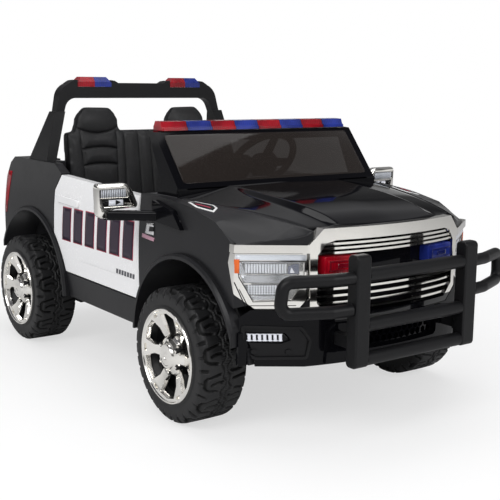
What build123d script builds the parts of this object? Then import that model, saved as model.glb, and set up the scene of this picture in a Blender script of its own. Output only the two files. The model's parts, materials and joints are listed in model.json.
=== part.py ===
"""A child's ride-on police pickup truck: an open two-seat plastic body on four foam tyres.

Millimetres, +X forward, +Y to the truck's left, +Z up. The origin is on the floor, at the middle of the
truck's length and width. Paired pieces are drawn on the left (+Y) side and mirrored.
"""

import math
import os

from build123d import *

# ------------------------------------------------------------------ overall sizes
wheel_base = 800.0
front_overhang = 362.0  # front axle to the bull bar's face
rear_overhang = 236.0  # rear axle to the rear bumper's face
overall_length = front_overhang + wheel_base + rear_overhang
front_x = overall_length / 2 - front_overhang  # front axle
rear_x = front_x - wheel_base  # rear axle

# ------------------------------------------------------------------ wheels
tyre_diameter = 290.0
tyre_width = 112.0
tyre_outer_half = 370.0  # centre line to the tyre's outer face
tread_depth = 8.0
tread_lug_count = 14
tread_lug_share = 0.76  # of the pitch
tread_row_width = 40.0  # each of the two rows of lugs
tread_rib_drop = 3.0  # the middle rib below the lugs
shoulder_width = 14.0  # the lugs' bevel at the sidewall
rim_diameter = 203.0
rim_seat_radius = 94.0  # the rim's barrel, and the tyre's bore
rim_wall = 7.0
hub_radius = 43.0
hub_cap_radius = 21.0
spoke_count = 6
lug_nut_circle = 32.0
axle_radius = 7.0
running_clearance = 0.3  # between pieces that turn on each other
axle_z = tyre_diameter / 2
tyre_inner_half = tyre_outer_half - tyre_width
tyre_centre_y = tyre_outer_half - tyre_width / 2
axle_end_inset = 26.0  # the axles end this far inside the tyre's outer face

# ------------------------------------------------------------------ body sides
side_half = 326.0  # widest half width of the side panels
side_widest_z = 310.0
side_radius = 1400.0  # barrel of the side panels, seen from the front
envelope_bottom_z = 120.0
envelope_top_z = 620.0
outer_limit = side_half + 80.0  # beyond every flare
front_arch_radius = 197.0
rear_arch_radius = 209.0
arch_z = 150.0
lip_width = 12.0
lip_depth = 26.0
lip_bevel = 5.0
front_lip_half = side_half + 13.0  # centre line to the front flare's face
rear_lip_half = side_half + 8.0
sill_bottom_z = 158.0
belt_front_z = 460.0  # the door's top edge
belt_rear_z = 472.0
bed_top_z = 498.0
panel_gap = 4.0
panel_wall = 22.0  # fender side wall
seat_gap = 0.3  # between two pieces that seat on each other
top_wall = 16.0  # bonnet and fender tops

# ------------------------------------------------------------------ doors
door_bottom_z = 224.0
door_thickness = 30.0
door_front_setback = 200.0  # front axle back to the door's front edge
door_rear_reach = 150.0  # rear axle forward to the door's rear edge
door_crease_z = 265.0
hinge_depth = 16.0  # door skin to the hinge axis
hinge_pin_radius = 3.0
hinge_eye_radius = 7.0

door_front_x = front_x - door_front_setback
door_rear_x = rear_x + door_rear_reach

# ------------------------------------------------------------------ nose and tail, in plan
nose_reach = 290.0  # front axle to the nose's face on the centre line
nose_corner_reach = 259.0
nose_corner_half = 211.0
nose_side_reach = 182.0
nose_side_half = side_half - 4.0
nose_wall = 30.0
tail_reach = 192.0  # rear axle back to the body's tail
tail_x = rear_x - tail_reach

# ------------------------------------------------------------------ floor, wheel wells and cabin widths
floor_bottom_z = 165.0
floor_thickness = 20.0
floor_z = floor_bottom_z + floor_thickness
well_wall = 6.0
kingpin_y = tyre_inner_half - 20.0
front_well_half = tyre_inner_half - 82.0  # inner wall of the front wheel wells
rear_well_half = tyre_inner_half - 18.0
bed_side_inner_half = rear_well_half - 8.0
seat_box_top_z = 330.0
seat_box_wall = 16.0
wheel_box_top_z = 372.0
cab_half = side_half - 72.0  # clear half width beside the seat backs
cab_front_half = side_half - 34.0  # and ahead of the roll bar's feet


# ------------------------------------------------------------------ drawing helpers
def along_x(sketch, x0, x1):
    """A sketch of (y, z) points, as a solid from x0 to x1."""
    return extrude(Plane(origin=(x0, 0, 0), x_dir=(0, 1, 0), z_dir=(1, 0, 0)) * sketch, x1 - x0)


def along_y(sketch, y0, y1):
    """A sketch of (x, z) points, as a solid from y0 to y1."""
    return extrude(Plane(origin=(0, y1, 0), x_dir=(1, 0, 0), z_dir=(0, -1, 0)) * sketch, y1 - y0)


def along_z(sketch, z0, z1):
    """A sketch of (x, y) points, as a solid from z0 to z1."""
    return extrude(Plane(origin=(0, 0, z0), x_dir=(1, 0, 0), z_dir=(0, 0, 1)) * sketch, z1 - z0)


def outline(*points):
    """A closed straight-sided sketch."""
    return make_face(Polyline(*points, close=True))


def symmetric(*half):
    """A straight-sided sketch from its +Y half, listed from the top down."""
    return outline(*half, *[(-y, z) for y, z in reversed(half)])


def grown(sketch, amount):
    """The sketch with all its edges moved outwards."""
    return offset(sketch, amount, kind=Kind.INTERSECTION) if amount else sketch


def block(x0, x1, y0, y1, z0, z1):
    """A box between two corners."""
    return Pos((x0 + x1) / 2, (y0 + y1) / 2, (z0 + z1) / 2) * Box(x1 - x0, y1 - y0, z1 - z0)


def round_bar(start, end, radius):
    """A round bar between two points."""
    start, end = Vector(*start), Vector(*end)
    return extrude(Plane(origin=start, z_dir=(end - start)) * Circle(radius), (end - start).length)


def disc_y(x, z, radius, y0, y1):
    """A cylinder across the truck."""
    return along_y(Pos(x, z) * Circle(radius), y0, y1)


def mirrored(shape):
    """The piece on the truck's other side."""
    return mirror(shape, about=Plane.XZ)


def both(shape):
    """A piece and its mirror image."""
    return Compound(children=[*shape.solids(), *mirrored(shape).solids()])


def largest(shape):
    """Only the largest solid of a cut shape."""
    return max(shape.solids(), key=lambda s: s.volume)


# ------------------------------------------------------------------ shared body forms
def side_y(z):
    """Half width of the side panels at a height."""
    return side_half - side_radius + math.sqrt(side_radius**2 - (z - side_widest_z) ** 2)


def body_section(grow=0.0):
    """The body seen from the front: both barrelled sides."""
    z0, zm, z1 = envelope_bottom_z, side_widest_z, envelope_top_z
    left = ThreePointArc((side_y(z0) + grow, z0), (side_half + grow, zm), (side_y(z1) + grow, z1))
    right = ThreePointArc((-side_y(z1) - grow, z1), (-side_half - grow, zm), (-side_y(z0) - grow, z0))
    top = Line(left @ 1, right @ 0)
    bottom = Line(right @ 1, left @ 0)
    return make_face([left, top, right, bottom])


def body_plan(grow=0.0):
    """The body seen from above: curved nose, cut corners and straight sides."""
    reach = side_half + 40
    k = Vector(front_x + nose_corner_reach, nose_corner_half)
    s = Vector(front_x + nose_side_reach, nose_side_half)
    back = (s - k) * (reach - s.Y) / (s.Y - k.Y) + s
    nose = ThreePointArc((k.X, -k.Y), (front_x + nose_reach, 0), (k.X, k.Y))
    sides = Polyline(
        (k.X, k.Y),
        (back.X, back.Y),
        (tail_x, reach),
        (tail_x, -reach),
        (back.X, -back.Y),
        (k.X, -k.Y),
    )
    return grown(make_face([nose, sides]), grow)


def body_envelope(grow=0.0):
    """The whole body's outer form, from which each panel is cut."""
    return along_z(body_plan(grow), envelope_bottom_z, envelope_top_z) & along_x(
        body_section(grow), tail_x - 50, front_x + nose_reach + 50
    )


def nose_ring(outer, inner):
    """A wall that follows the nose, from `inner` to `outer` off its face."""
    return body_envelope(outer) - body_envelope(inner)


def on_nose(sketch, outer, inner):
    """A (y, z) sketch as a piece of the wall that follows the nose."""
    return nose_ring(outer, inner) & along_x(sketch, front_x + 100, front_x + 340)


def door_outline(grow=0.0):
    """The door from the side: square front, cut rear top corner, and a lower rear edge round the wheel."""
    radius = rear_arch_radius + lip_width + panel_gap
    x0, x1 = door_rear_x, door_front_x
    foot_z = door_bottom_z
    knee_z = arch_z + math.sqrt(radius**2 - (x0 - rear_x) ** 2)
    foot_x = rear_x + math.sqrt(radius**2 - (foot_z - arch_z) ** 2)
    mid = math.atan2(knee_z - arch_z, x0 - rear_x) / 2 + math.atan2(foot_z - arch_z, foot_x - rear_x) / 2
    edge = ThreePointArc(
        (x0, knee_z), (rear_x + radius * math.cos(mid), arch_z + radius * math.sin(mid)), (foot_x, foot_z)
    )
    rest = Polyline(
        (foot_x, foot_z),
        (x1, foot_z),
        (x1, belt_front_z),
        (x0 + 36, belt_rear_z),
        (x0 + 2, belt_rear_z - 42),
        (x0, belt_rear_z - 80),
        (x0, knee_z),
    )
    return grown(make_face([edge, rest]), grow)


door_space = along_y(door_outline(panel_gap), side_half - 126, outer_limit)


def arch_lip(x, radius, half, z0, x0, x1):
    """The flare round a wheel arch, standing proud of the side."""
    ring = Pos(x, arch_z) * (Circle(radius + lip_width) - Circle(radius))
    lip = along_y(ring, half - lip_depth, half)
    lip &= block(x0, x1, 0, outer_limit, z0, envelope_top_z)
    outer = lip.faces().filter_by(Axis.Y).sort_by(Axis.Y)[-1]
    return chamfer(outer.edges().filter_by(GeomType.CIRCLE).sort_by(SortBy.RADIUS)[-1], lip_bevel)


# ------------------------------------------------------------------ bonnet and fender tops
cowl_z = 466.0  # fender tops beside the windscreen
strip_top_z = 405.0  # chrome strip over the headlamps
strip_bottom_z = 389.0
screen_foot_setback = 87.0  # front axle back to the windscreen's foot
bonnet_rear_x = front_x - screen_foot_setback + 3.0
bonnet_rear_half = side_half - 28.0
bonnet_front_half = 184.0  # at the bonnet's front section
# Each section: x ahead of the front axle, then (y, z) of centre, ridge, ridge foot, bonnet edge,
# fender crease and side.
hood_sections = (
    (-84, (0, 488), (156, 486), (160, 484), (298, 467), (306, 466), (332, 466)),
    (10, (0, 482), (149, 480), (166, 472), (270, 462), (303, 459), (332, 456)),
    (105, (0, 474), (141, 472), (161, 463), (242, 456), (300, 444), (332, 437)),
    (171, (0, 466), (136, 464), (156, 454), (222, 449), (288, 424), (332, 397)),
    (223, (0, 455), (131, 453), (151, 444), (207, 441), (258, 417), (332, 380)),
    (265, (0, 439), (128, 437), (148, 434), (195, 432), (222, 408), (332, 366)),
    (303, (0, 424), (125, 422), (145, 420), (184, 418), (206, 398), (332, 352)),
)
hood_design_half = 326.0  # half width that the sections are drawn for


def hood_form(depth):
    """The skin of bonnet and fender tops, `depth` thick."""
    widen = side_half / hood_design_half
    faces = []
    for x, *half in hood_sections:
        top = [(y * widen, z) for y, z in reversed(half)]
        top += [(-y, z) for y, z in reversed(top[:-1])]
        under = [(y, z - depth) for y, z in reversed(top)]
        plane = Plane(origin=(front_x + x, 0, 0), x_dir=(0, 1, 0), z_dir=(1, 0, 0))
        faces.append(plane * outline(*top, *under))
    return loft(faces, ruled=True)


def bonnet_plan(grow=0.0):
    """The bonnet from above: its straight shut lines close in towards the grille."""
    x0, x1 = bonnet_rear_x - 1, front_x + hood_sections[-1][0] + 1
    widen = side_half / hood_design_half
    y0, y1 = bonnet_rear_half, bonnet_front_half * widen
    return outline((x0, -y0 - grow), (x0, y0 + grow), (x1, y1 + grow), (x1, -y1 - grow))


def bonnet():
    """Wide bonnet with a raised centre between two ridges, ending in a lip above the grille."""
    form = hood_form(top_wall) & body_envelope(-1.5)
    form &= along_z(bonnet_plan(), floor_z, envelope_top_z)
    form -= surround_form(0.4)
    form -= along_x(grown(grille_back_outline(), 0.4), front_x + 150, front_x + 340)
    return largest(form)


def fender_face():
    """The front fender from the side, without its wheel arch or its top."""
    x = front_x
    return outline(
        (x - 214, sill_bottom_z),
        (door_front_x + panel_gap, door_bottom_z + 6),
        (door_front_x + panel_gap, envelope_top_z),
        (x + nose_reach, envelope_top_z),
        (x + nose_reach, strip_top_z + 0.4),
        (x + 167.6, strip_top_z + 0.4),
        (x + 158, 366),
        (x + 180, 305),
        (x + 203, 277),
        (x + 190, 262),
        (x + 190, sill_bottom_z),
    )


def front_fender():
    """Side panel, top, nose corner and flare, with the wheel well's roof and inner wall."""
    x = front_x
    under_hood = hood_form(envelope_bottom_z) + block(
        door_front_x, x + hood_sections[0][0] + 1, -outer_limit, outer_limit, sill_bottom_z - 20, cowl_z
    )
    outer = body_envelope() & under_hood
    side = outer & along_y(fender_face(), side_half - panel_wall, outer_limit)
    side -= disc_y(x, arch_z, front_arch_radius, 0, outer_limit)
    top = (hood_form(top_wall) & body_envelope()) - along_z(
        bonnet_plan(seat_gap), floor_z, envelope_top_z
    )
    top &= block(x + hood_sections[0][0], x + nose_reach, 0, side_half - panel_wall + 1, 0, envelope_top_z)
    corner = on_nose(
        outline(
            (side_half, envelope_top_z),
            (120, envelope_top_z),
            (120, strip_top_z + 0.4),
            (side_half, strip_top_z + 0.4),
        ),
        0,
        -nose_wall / 2,
    )
    corner = (corner & under_hood) - along_z(bonnet_plan(seat_gap), floor_z, envelope_top_z)
    top_and_corner = top + corner - surround_form(0.4)
    top_and_corner -= along_x(grown(grille_back_outline(), 0.4), x + 150, x + 340)
    shell = side + top_and_corner
    lip = arch_lip(x, front_arch_radius, front_lip_half, sill_bottom_z, door_front_x - 12, x + 190)
    well_ring = Pos(x, arch_z) * (Circle(front_arch_radius + well_wall) - Circle(front_arch_radius))
    well = along_y(well_ring, front_well_half, side_half - panel_wall)
    inner = disc_y(x, arch_z, front_arch_radius + 1, front_well_half, front_well_half + well_wall)
    limits = block(x - 260, x + 260, 0, outer_limit, floor_bottom_z, envelope_top_z)
    shell += lip
    shell += (well + inner) & limits
    shell -= along_y(door_outline(panel_gap), side_half - door_thickness - 4, outer_limit)
    return largest(shell)


# ------------------------------------------------------------------ bed sides, floor and bed
cab_wall_x = rear_x - 6.0  # front face of the wall between cab and bed
cab_wall_thickness = 12.0
bed_floor_z = 300.0
bed_floor_thickness = 12.0
bed_rib_count = 7
bed_rib_height = 4.0
roll_foot_front = 71.0  # ahead of the rear axle
roll_foot_rear = -46.0


def bed_outline():
    """The bed side from the side, without its wheel arch."""
    return outline(
        (tail_x, 236),
        (tail_x, 345),
        (tail_x + 12, 440),
        (tail_x + 32, bed_top_z - 18),
        (tail_x + 58, bed_top_z),
        (door_rear_x - 12, bed_top_z),
        (door_rear_x + 32, belt_rear_z + 4),
        (door_rear_x + 40, 300),
        (rear_x + 206, sill_bottom_z),
        (rear_x, sill_bottom_z),
    )


def bed_side():
    """Thick hollow-moulded bed side, with the rear wheel's pocket and flare, slimmer beside the seats."""
    form = along_y(bed_outline(), bed_side_inner_half, outer_limit) & body_envelope()
    top = envelope_top_z
    form -= block(cab_wall_x, front_x, 0, cab_half, wheel_box_top_z, top)
    form -= block(rear_x + roll_foot_front + 6, front_x, 0, cab_front_half, wheel_box_top_z, top)
    form -= disc_y(rear_x, arch_z, rear_arch_radius, rear_well_half, outer_limit)
    form -= block(rear_x - 400, rear_x + 400, 0, rear_well_half, 0, floor_bottom_z)
    form += arch_lip(rear_x, rear_arch_radius, rear_lip_half, sill_bottom_z, tail_x, rear_x + 230)
    form -= door_space
    form -= disc_y(
        tailgate_hinge_x, tailgate_hinge_z, tailgate_pin_radius + running_clearance, 0, tailgate_half + 9
    )
    return form


def floor_pan():
    """Floor and sills: the moulded tub that carries everything."""
    half = front_well_half - 1
    floor = block(tail_x + 12, front_x + nose_corner_reach - 60, -half, half, floor_bottom_z, floor_z)
    half = bed_side_inner_half - 1
    floor += block(
        tail_x + 12, front_x - front_arch_radius - well_wall - 4, -half, half, floor_bottom_z, floor_z
    )
    sill_x0 = rear_x + rear_arch_radius + lip_width + 2
    sill_x1 = front_x - front_arch_radius - lip_width - 2
    sill = body_envelope() & block(
        rear_x, front_x, side_half - 40, outer_limit, sill_bottom_z, door_bottom_z - panel_gap
    )
    sill -= disc_y(rear_x, arch_z, rear_arch_radius + lip_width + 1, 0, outer_limit)
    sill -= disc_y(front_x, arch_z, front_arch_radius + lip_width + 1, 0, outer_limit)
    sill -= along_y(grown(fender_face(), seat_gap), side_half - 126, outer_limit)
    web = block(sill_x0, sill_x1, bed_side_inner_half - 2, side_half - 38, floor_bottom_z, floor_z)
    side = sill + web
    return floor + side + mirrored(side)


seat_box_rear_x = rear_x + 2.0
seat_box_front_x = rear_x + 310.0


def seat_box():
    """Hollow box on the floor that carries the seats."""
    half, z0 = bed_side_inner_half - 1, floor_z + seat_gap
    wall = seat_box_wall
    box = block(seat_box_rear_x, seat_box_front_x, -half, half, z0, seat_box_top_z)
    return box - block(
        seat_box_rear_x + wall,
        seat_box_front_x - wall,
        -half + wall,
        half - wall,
        z0,
        seat_box_top_z - wall,
    )


def firewall():
    """Upright wall ahead of the footwells."""
    half = front_well_half - 1
    return block(front_x - 70, front_x - 58, -half, half, floor_z + seat_gap, dash_bottom_z)


def bed_floor():
    """The load bed's ribbed floor and its front wall, behind the seats."""
    half = bed_side_inner_half - 0.5
    wall_x = cab_wall_x - cab_wall_thickness
    bed = block(tail_x + 34, cab_wall_x, -half, half, bed_floor_z - bed_floor_thickness, bed_floor_z)
    bed += block(wall_x, cab_wall_x, -half, half, bed_floor_z - 20, bed_top_z - 10)
    pitch = 2 * half / (bed_rib_count + 1)
    for i in range(bed_rib_count):
        y = (i - (bed_rib_count - 1) / 2) * pitch
        bed += block(
            tail_x + 40, wall_x, y - pitch / 6, y + pitch / 6, bed_floor_z, bed_floor_z + bed_rib_height
        )
    bed += block(tail_x + 60, tail_x + 80, -half, half, floor_z, bed_floor_z - bed_floor_thickness)
    return bed


def battery():
    """The drive battery inside the seat box."""
    z0 = floor_z + seat_gap
    return block(rear_x + 120, rear_x + 220, -76, 76, z0, z0 + 96)


# ------------------------------------------------------------------ tailgate
tailgate_thickness = 24.0
tailgate_bottom_z = 292.0
tailgate_top_z = bed_top_z - 20.0
tailgate_pin_radius = 5.0
tailgate_half = bed_side_inner_half - 3.0
tailgate_hinge_x = tail_x + 12.0
tailgate_hinge_z = tailgate_bottom_z + 12.0


def tailgate():
    """Drop-down tailgate with a pressed panel and a latch handle, turning on two stub pins."""
    side = outline(
        (tail_x, tailgate_bottom_z),
        (tail_x, 345),
        (tail_x + 12, 440),
        (tail_x + 26, tailgate_top_z),
        (tail_x + 26 + tailgate_thickness, tailgate_top_z),
        (tail_x + tailgate_thickness, 345),
        (tail_x + tailgate_thickness, tailgate_bottom_z),
    )
    gate = along_y(side, -tailgate_half, tailgate_half)
    middle = (tailgate_bottom_z + tailgate_top_z) / 2
    panel = Pos(0, middle - 8) * RectangleRounded(2 * tailgate_half - 80, 90, 12)
    gate -= along_x(panel, tail_x - 20, tail_x + 5)
    handle = Pos(0, middle + 56) * RectangleRounded(96, 22, 8)
    gate -= along_x(handle, tail_x, tail_x + 26)
    gate += along_x(Pos(0, middle + 58) * RectangleRounded(80, 8, 3), tail_x + 16, tail_x + 30)
    pins = disc_y(
        tailgate_hinge_x, tailgate_hinge_z, tailgate_pin_radius, -tailgate_half - 8, tailgate_half + 8
    )
    return gate + pins


# ------------------------------------------------------------------ grille
grille_bar_height = 4.5
grille_bar_heights = (404.0, 395.0, 386.0, 328.0, 314.0, 300.0, 286.0, 271.0)
surround_proud = 5.0
surround_depth = 16.0
lamp_inner_half = 206.6  # the headlamps' inner edge, where the surround ends


def surround_outline():
    """Outer edge of the chrome surround, with the strips that run out over the headlamps."""
    side = outer_limit
    return symmetric(
        (lamp_inner_half - 28.6, 436),
        (lamp_inner_half + 1.4, strip_top_z),
        (side, strip_top_z),
        (side, strip_bottom_z),
        (lamp_inner_half - 0.6, strip_bottom_z),
        (lamp_inner_half - 2.6, 280),
        (lamp_inner_half - 36.6, 251),
    )


def surround_opening():
    """The hole in the chrome surround that holds the bars."""
    half = lamp_inner_half - 16.6
    return symmetric((half - 38, 412), (half - 18, 407), (half, 384), (half, 288), (half - 28, 262))


def surround_form(grow=0.0):
    """The chrome surround without its bars."""
    front = grown(surround_outline(), grow)
    ring = nose_ring(surround_proud, -surround_depth)
    return ring & along_x(front - surround_opening(), front_x + 168, front_x + 330)


def grille():
    """Chrome surround and its horizontal bars, one moulding."""
    form = surround_form()
    for z in grille_bar_heights:
        bar = Pos(0, z) * Rectangle(2 * lamp_inner_half, grille_bar_height)
        form += on_nose(bar & surround_opening(), 0, -surround_depth)
    return form


def grille_back_outline():
    """The black panel behind the grille."""
    half = lamp_inner_half - 3.6
    return symmetric((half - 27, 414), (half, 392), (half, 272), (half - 35, 250))


# ------------------------------------------------------------------ headlamps
lamp_bottom_z = 277.0
lamp_lens_thickness = 3.0
reflector_depth = 15.0
flute_pitch = 7.0


def lamp_outline():
    """The headlamp's outer edge, seen from the front."""
    top = strip_bottom_z - 0.4
    return outline(
        (lamp_inner_half, top),
        (lamp_inner_half, 300),
        (lamp_inner_half + 15.4, lamp_bottom_z),
        (side_half, lamp_bottom_z),
        (side_half, top),
    )


def lamp_window(shrink=0.0):
    """The clear window: a wide upper band and a lower trapezoid, joined."""
    face = outline(
        (lamp_inner_half + 6, 372),
        (lamp_inner_half + 6, 346),
        (lamp_inner_half + 12, 322),
        (lamp_inner_half + 26, 296),
        (side_half - 32, 293),
        (side_half - 20, 318),
        (side_half - 9, 340),
        (side_half - 6, 372),
    )
    return grown(face, -shrink)


def headlamp_housing():
    """Chrome housing with a fluted reflector behind the lens and a bar across it."""
    form = on_nose(lamp_outline(), 0, -nose_wall)
    form -= along_y(grown(fender_face(), 0.4), 150, outer_limit)
    form -= on_nose(lamp_window(), 10, -lamp_lens_thickness - seat_gap)
    upper = outline(
        (lamp_inner_half + 12, 368),
        (lamp_inner_half + 12, 346),
        (side_half - 22, 346),
        (side_half - 14, 368),
    )
    lower = outline(
        (lamp_inner_half + 22, 328),
        (lamp_inner_half + 34, 304),
        (side_half - 42, 302),
        (side_half - 30, 328),
    )
    cavity = on_nose(upper, -1, -reflector_depth) + on_nose(lower, -1, -reflector_depth)
    form -= cavity
    count = int((side_half - lamp_inner_half - 44) / flute_pitch)
    for i in range(count):
        y = lamp_inner_half + 22 + i * flute_pitch
        flute = Pos(y, 357) * Rectangle(flute_pitch / 2, 23)
        form += on_nose(flute, -reflector_depth / 2, -reflector_depth - 1)
    return largest(form)


def headlamp_lens():
    """Clear cover let into the headlamp housing."""
    form = on_nose(lamp_window(seat_gap), -0.5, -lamp_lens_thickness)
    form -= along_y(grown(fender_face(), 2.0), 150, outer_limit)
    return largest(form)


# ------------------------------------------------------------------ front bumper
bumper_bottom_z = 163.0
bumper_proud = 6.0  # stands out of the nose
bumper_centre_half = 168.0
intake_half = 125.0
intake_z = 214.0
intake_height = 54.0
mesh_cell = 9.0  # the honeycomb's cell radius
fog_panel_inner = side_half - 126.0
fog_lamp_y = side_half - 52.0
fog_lamp_z = 220.0


def fog_panel_outline():
    """The recessed panel round a fog lamp."""
    y0, y1 = fog_panel_inner, side_half - 8
    face = outline((y0, 216), (y0 + 18, 244), (y1, 247), (y1, 190), (y1 - 24, 176), (y0 + 8, 178))
    return fillet(face.vertices(), 7)


def honeycomb():
    """The lower intake's cells, in staggered rows."""
    cells = []
    step_y, step_z = mesh_cell * 1.9, mesh_cell * 1.65
    rows = int((intake_height / 2 - mesh_cell) / step_z)
    for row in range(-rows, rows + 1):
        shift = (row % 2) * step_y / 2
        count = int((intake_half - mesh_cell - shift) / step_y)
        for i in range(-count - (row % 2), count + 1):
            y = i * step_y + shift
            cells.append(Pos(y, intake_z + row * step_z) * RegularPolygon(mesh_cell * 0.86, 6, rotation=30))
    return cells


def front_bumper():
    """Bumper skin round the nose, with a deeper centre, a honeycomb intake and the panel behind the grille."""
    front = symmetric(
        (lamp_inner_half - 35.8, 250.4),
        (lamp_inner_half - 1.6, 279.2),
        (lamp_inner_half - 1.6, 299.6),
        (lamp_inner_half + 15, lamp_bottom_z - 0.4),
        (side_half + 14, lamp_bottom_z - 0.4),
        (side_half + 14, bumper_bottom_z),
    )
    skin = on_nose(front, bumper_proud, -nose_wall)
    half = bumper_centre_half
    centre = symmetric((half - 14, 246), (half, 232), (half + 6, bumper_bottom_z + 4))
    skin += on_nose(centre, bumper_proud + 7, 0)
    skin -= disc_y(front_x, arch_z, front_arch_radius + lip_width, -outer_limit, outer_limit)
    face = along_y(grown(fender_face(), 0.4), 150, outer_limit)
    skin -= face
    skin -= mirrored(face)
    intake = Pos(0, intake_z) * RectangleRounded(2 * intake_half, intake_height, 12)
    skin -= on_nose(intake, 30, 0)
    cells = Sketch() + honeycomb()
    skin -= on_nose(cells, 5, -8)
    panel = on_nose(fog_panel_outline(), 20, -2)
    skin -= panel
    skin -= mirrored(panel)
    back = on_nose(grille_back_outline(), -surround_depth - 0.4, -nose_wall)
    return skin + back


def fog_lamp_outline(grow=0.0):
    """A slim lamp with one slanted end."""
    y, z = fog_lamp_y, fog_lamp_z
    face = outline((y - 40, z - 4), (y - 30, z + 11), (y + 36, z + 13), (y + 40, z - 9), (y - 24, z - 11))
    return grown(fillet(face.vertices(), 3), grow)


def fog_bezel():
    """Black panel round a fog lamp, with two bolt heads."""
    form = on_nose(grown(fog_panel_outline(), -seat_gap), bumper_proud - 2, -2 + seat_gap)
    rim = fog_panel_outline()
    form += on_nose(grown(rim, -seat_gap) - grown(rim, -6), bumper_proud + 2, bumper_proud - 3)
    for y in (fog_lamp_y - 34, fog_lamp_y + 22):
        bolt = Pos(y, fog_lamp_z - 27) * Circle(5)
        form += on_nose(bolt, bumper_proud + 1, bumper_proud - 3)
    form -= on_nose(fog_lamp_outline(), 30, 1)
    form -= along_y(grown(fender_face(), 0.8), 150, outer_limit)
    form -= disc_y(front_x, arch_z, front_arch_radius + lip_width, 0, outer_limit)
    return largest(form)


def fog_lamp():
    """Small lamp low in the bumper's corner, seated in its panel."""
    form = on_nose(fog_lamp_outline(-seat_gap), bumper_proud, 1 + seat_gap)
    return largest(form - along_y(grown(fender_face(), 2.0), 150, outer_limit))


# ------------------------------------------------------------------ tail
tail_lamp_inner = side_half - 64.0
tail_lamp_outer = side_half - 14.0
rear_bumper_half = side_half - 8.0
rear_bumper_bottom_z = 236.0
rear_bumper_top_z = 284.0


def tail_lamps():
    """Upright lamps on the rear corners, with a stepped lens."""
    lamp = block(tail_x - 5, tail_x - 0.2, tail_lamp_inner, tail_lamp_outer, 336, 430)
    lamp = fillet(lamp.edges().filter_by(Axis.X), 8)
    boss = block(tail_x - 9, tail_x - 4, tail_lamp_inner + 10, tail_lamp_outer - 10, 348, 418)
    return both(lamp + fillet(boss.edges().filter_by(Axis.X), 5))


def rear_bumper():
    """Step bumper across the tail, with a recessed centre and a ribbed step."""
    x0, x1, half = rear_x - rear_overhang, tail_x - seat_gap, rear_bumper_half
    plan = outline((x1, half), (x1 - 12, half), (x0, half - 38), (x0, 38 - half), (x1 - 12, -half), (x1, -half))
    step = along_z(plan, rear_bumper_bottom_z, rear_bumper_top_z)
    step = chamfer(step.faces().sort_by(Axis.Z)[-1].edges().sort_by(Axis.X)[0], 6)
    plate = Pos(0, (rear_bumper_bottom_z + rear_bumper_top_z) / 2) * RectangleRounded(180, 30, 5)
    step -= along_x(plate, x0 - 1, x0 + 5)
    for y in (-200, -150, 150, 200):
        step -= block(x0 + 14, x1 - 8, y - 18, y + 18, rear_bumper_top_z - 2, rear_bumper_top_z + 1)
    return step


# ------------------------------------------------------------------ bull bar
bull_tube_radius = 14.0
bull_upright_y = 150.0
bull_upright_width = 36.0
bull_upright_depth = 30.0
bull_bottom_z = 172.0
bull_top_z = 394.0
bull_tube_heights = (352.0, 254.0, 186.0)
loop_tube_radius = 12.5
loop_half = side_half - 26.0
loop_top_z = 350.0
loop_bottom_z = 288.0
loop_bend_radius = 20.0
stay_half_width = 8.0

bull_face_x = front_x + front_overhang
bull_back_x = bull_face_x - bull_upright_depth
bull_mid_x = bull_face_x - bull_upright_depth / 2
bull_inner_y = bull_upright_y - bull_upright_width / 2
bull_outer_y = bull_upright_y + bull_upright_width / 2


def bull_bar_uprights():
    """The push bar's two uprights, each with a stay to the bumper."""
    upright = block(bull_back_x, bull_face_x, bull_inner_y, bull_outer_y, bull_bottom_z, bull_top_z)
    upright = fillet(upright.edges().filter_by(Axis.Y), 10)
    upright = fillet(upright.edges().filter_by(Axis.Z), 4)
    y = bull_upright_y
    stay = block(front_x + 200, bull_back_x + 4, y - stay_half_width, y + stay_half_width, 205, 232)
    stay -= body_envelope(bumper_proud + 7 + seat_gap)
    return both(largest(upright + stay))


def bull_bar_tubes():
    """Cross tubes between the uprights."""
    tubes = []
    for z in bull_tube_heights:
        tubes.append(
            round_bar((bull_mid_x, -bull_inner_y, z), (bull_mid_x, bull_inner_y, z), bull_tube_radius)
        )
    return Compound(children=[t.solid() for t in tubes])


def bull_bar_loops():
    """A swept-back loop of tube outside each upright."""
    x, knee_y = bull_mid_x, bull_outer_y + 44
    route = FilletPolyline(
        (x, bull_outer_y, loop_top_z),
        (x - 6, knee_y, loop_top_z),
        (x - 44, loop_half, loop_top_z - 2),
        (x - 46, loop_half + 6, loop_bottom_z),
        (x - 6, knee_y, loop_bottom_z),
        (x, bull_outer_y, loop_bottom_z),
        radius=loop_bend_radius,
    )
    tube = sweep(Plane(origin=route @ 0, z_dir=(0, 1, 0)) * Circle(loop_tube_radius), path=route)
    return both(tube & block(0, 2000, bull_outer_y, 2000, 0, 2000))


# ------------------------------------------------------------------ windscreen and light bar
screen_foot_x = front_x - screen_foot_setback
screen_foot_z = 484.0
screen_rake = 99.0
screen_head_x = screen_foot_x - screen_rake
screen_head_z = 602.0
screen_half = side_half - 38.0
pillar_width = 24.0
screen_depth = 14.0
screen_header = 18.0
glass_thickness = 4.0
glass_inset = 5.0  # behind the frame's face
light_bar_half = screen_half - 20.0
light_count = 8


def screen_plane(setback=0.0):
    """Lies in the screen's front face: local x across, local y up the slope, origin at its foot."""
    slope = Vector(screen_head_x - screen_foot_x, 0, screen_head_z - screen_foot_z).normalized()
    normal = Vector(0, 1, 0).cross(slope)
    origin = Vector(screen_foot_x, 0, screen_foot_z) - normal * setback
    return Plane(origin=origin, x_dir=(0, 1, 0), z_dir=normal)


def screen_height():
    """Length of the screen up its slope."""
    return math.hypot(screen_rake, screen_head_z - screen_foot_z)


def screen_opening():
    """The glass's outline in the screen plane."""
    height = screen_height()
    face = Pos(0, height / 2) * Rectangle(2 * (screen_half - pillar_width), height - 2 * screen_header)
    return fillet(face.vertices(), 12)


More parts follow.
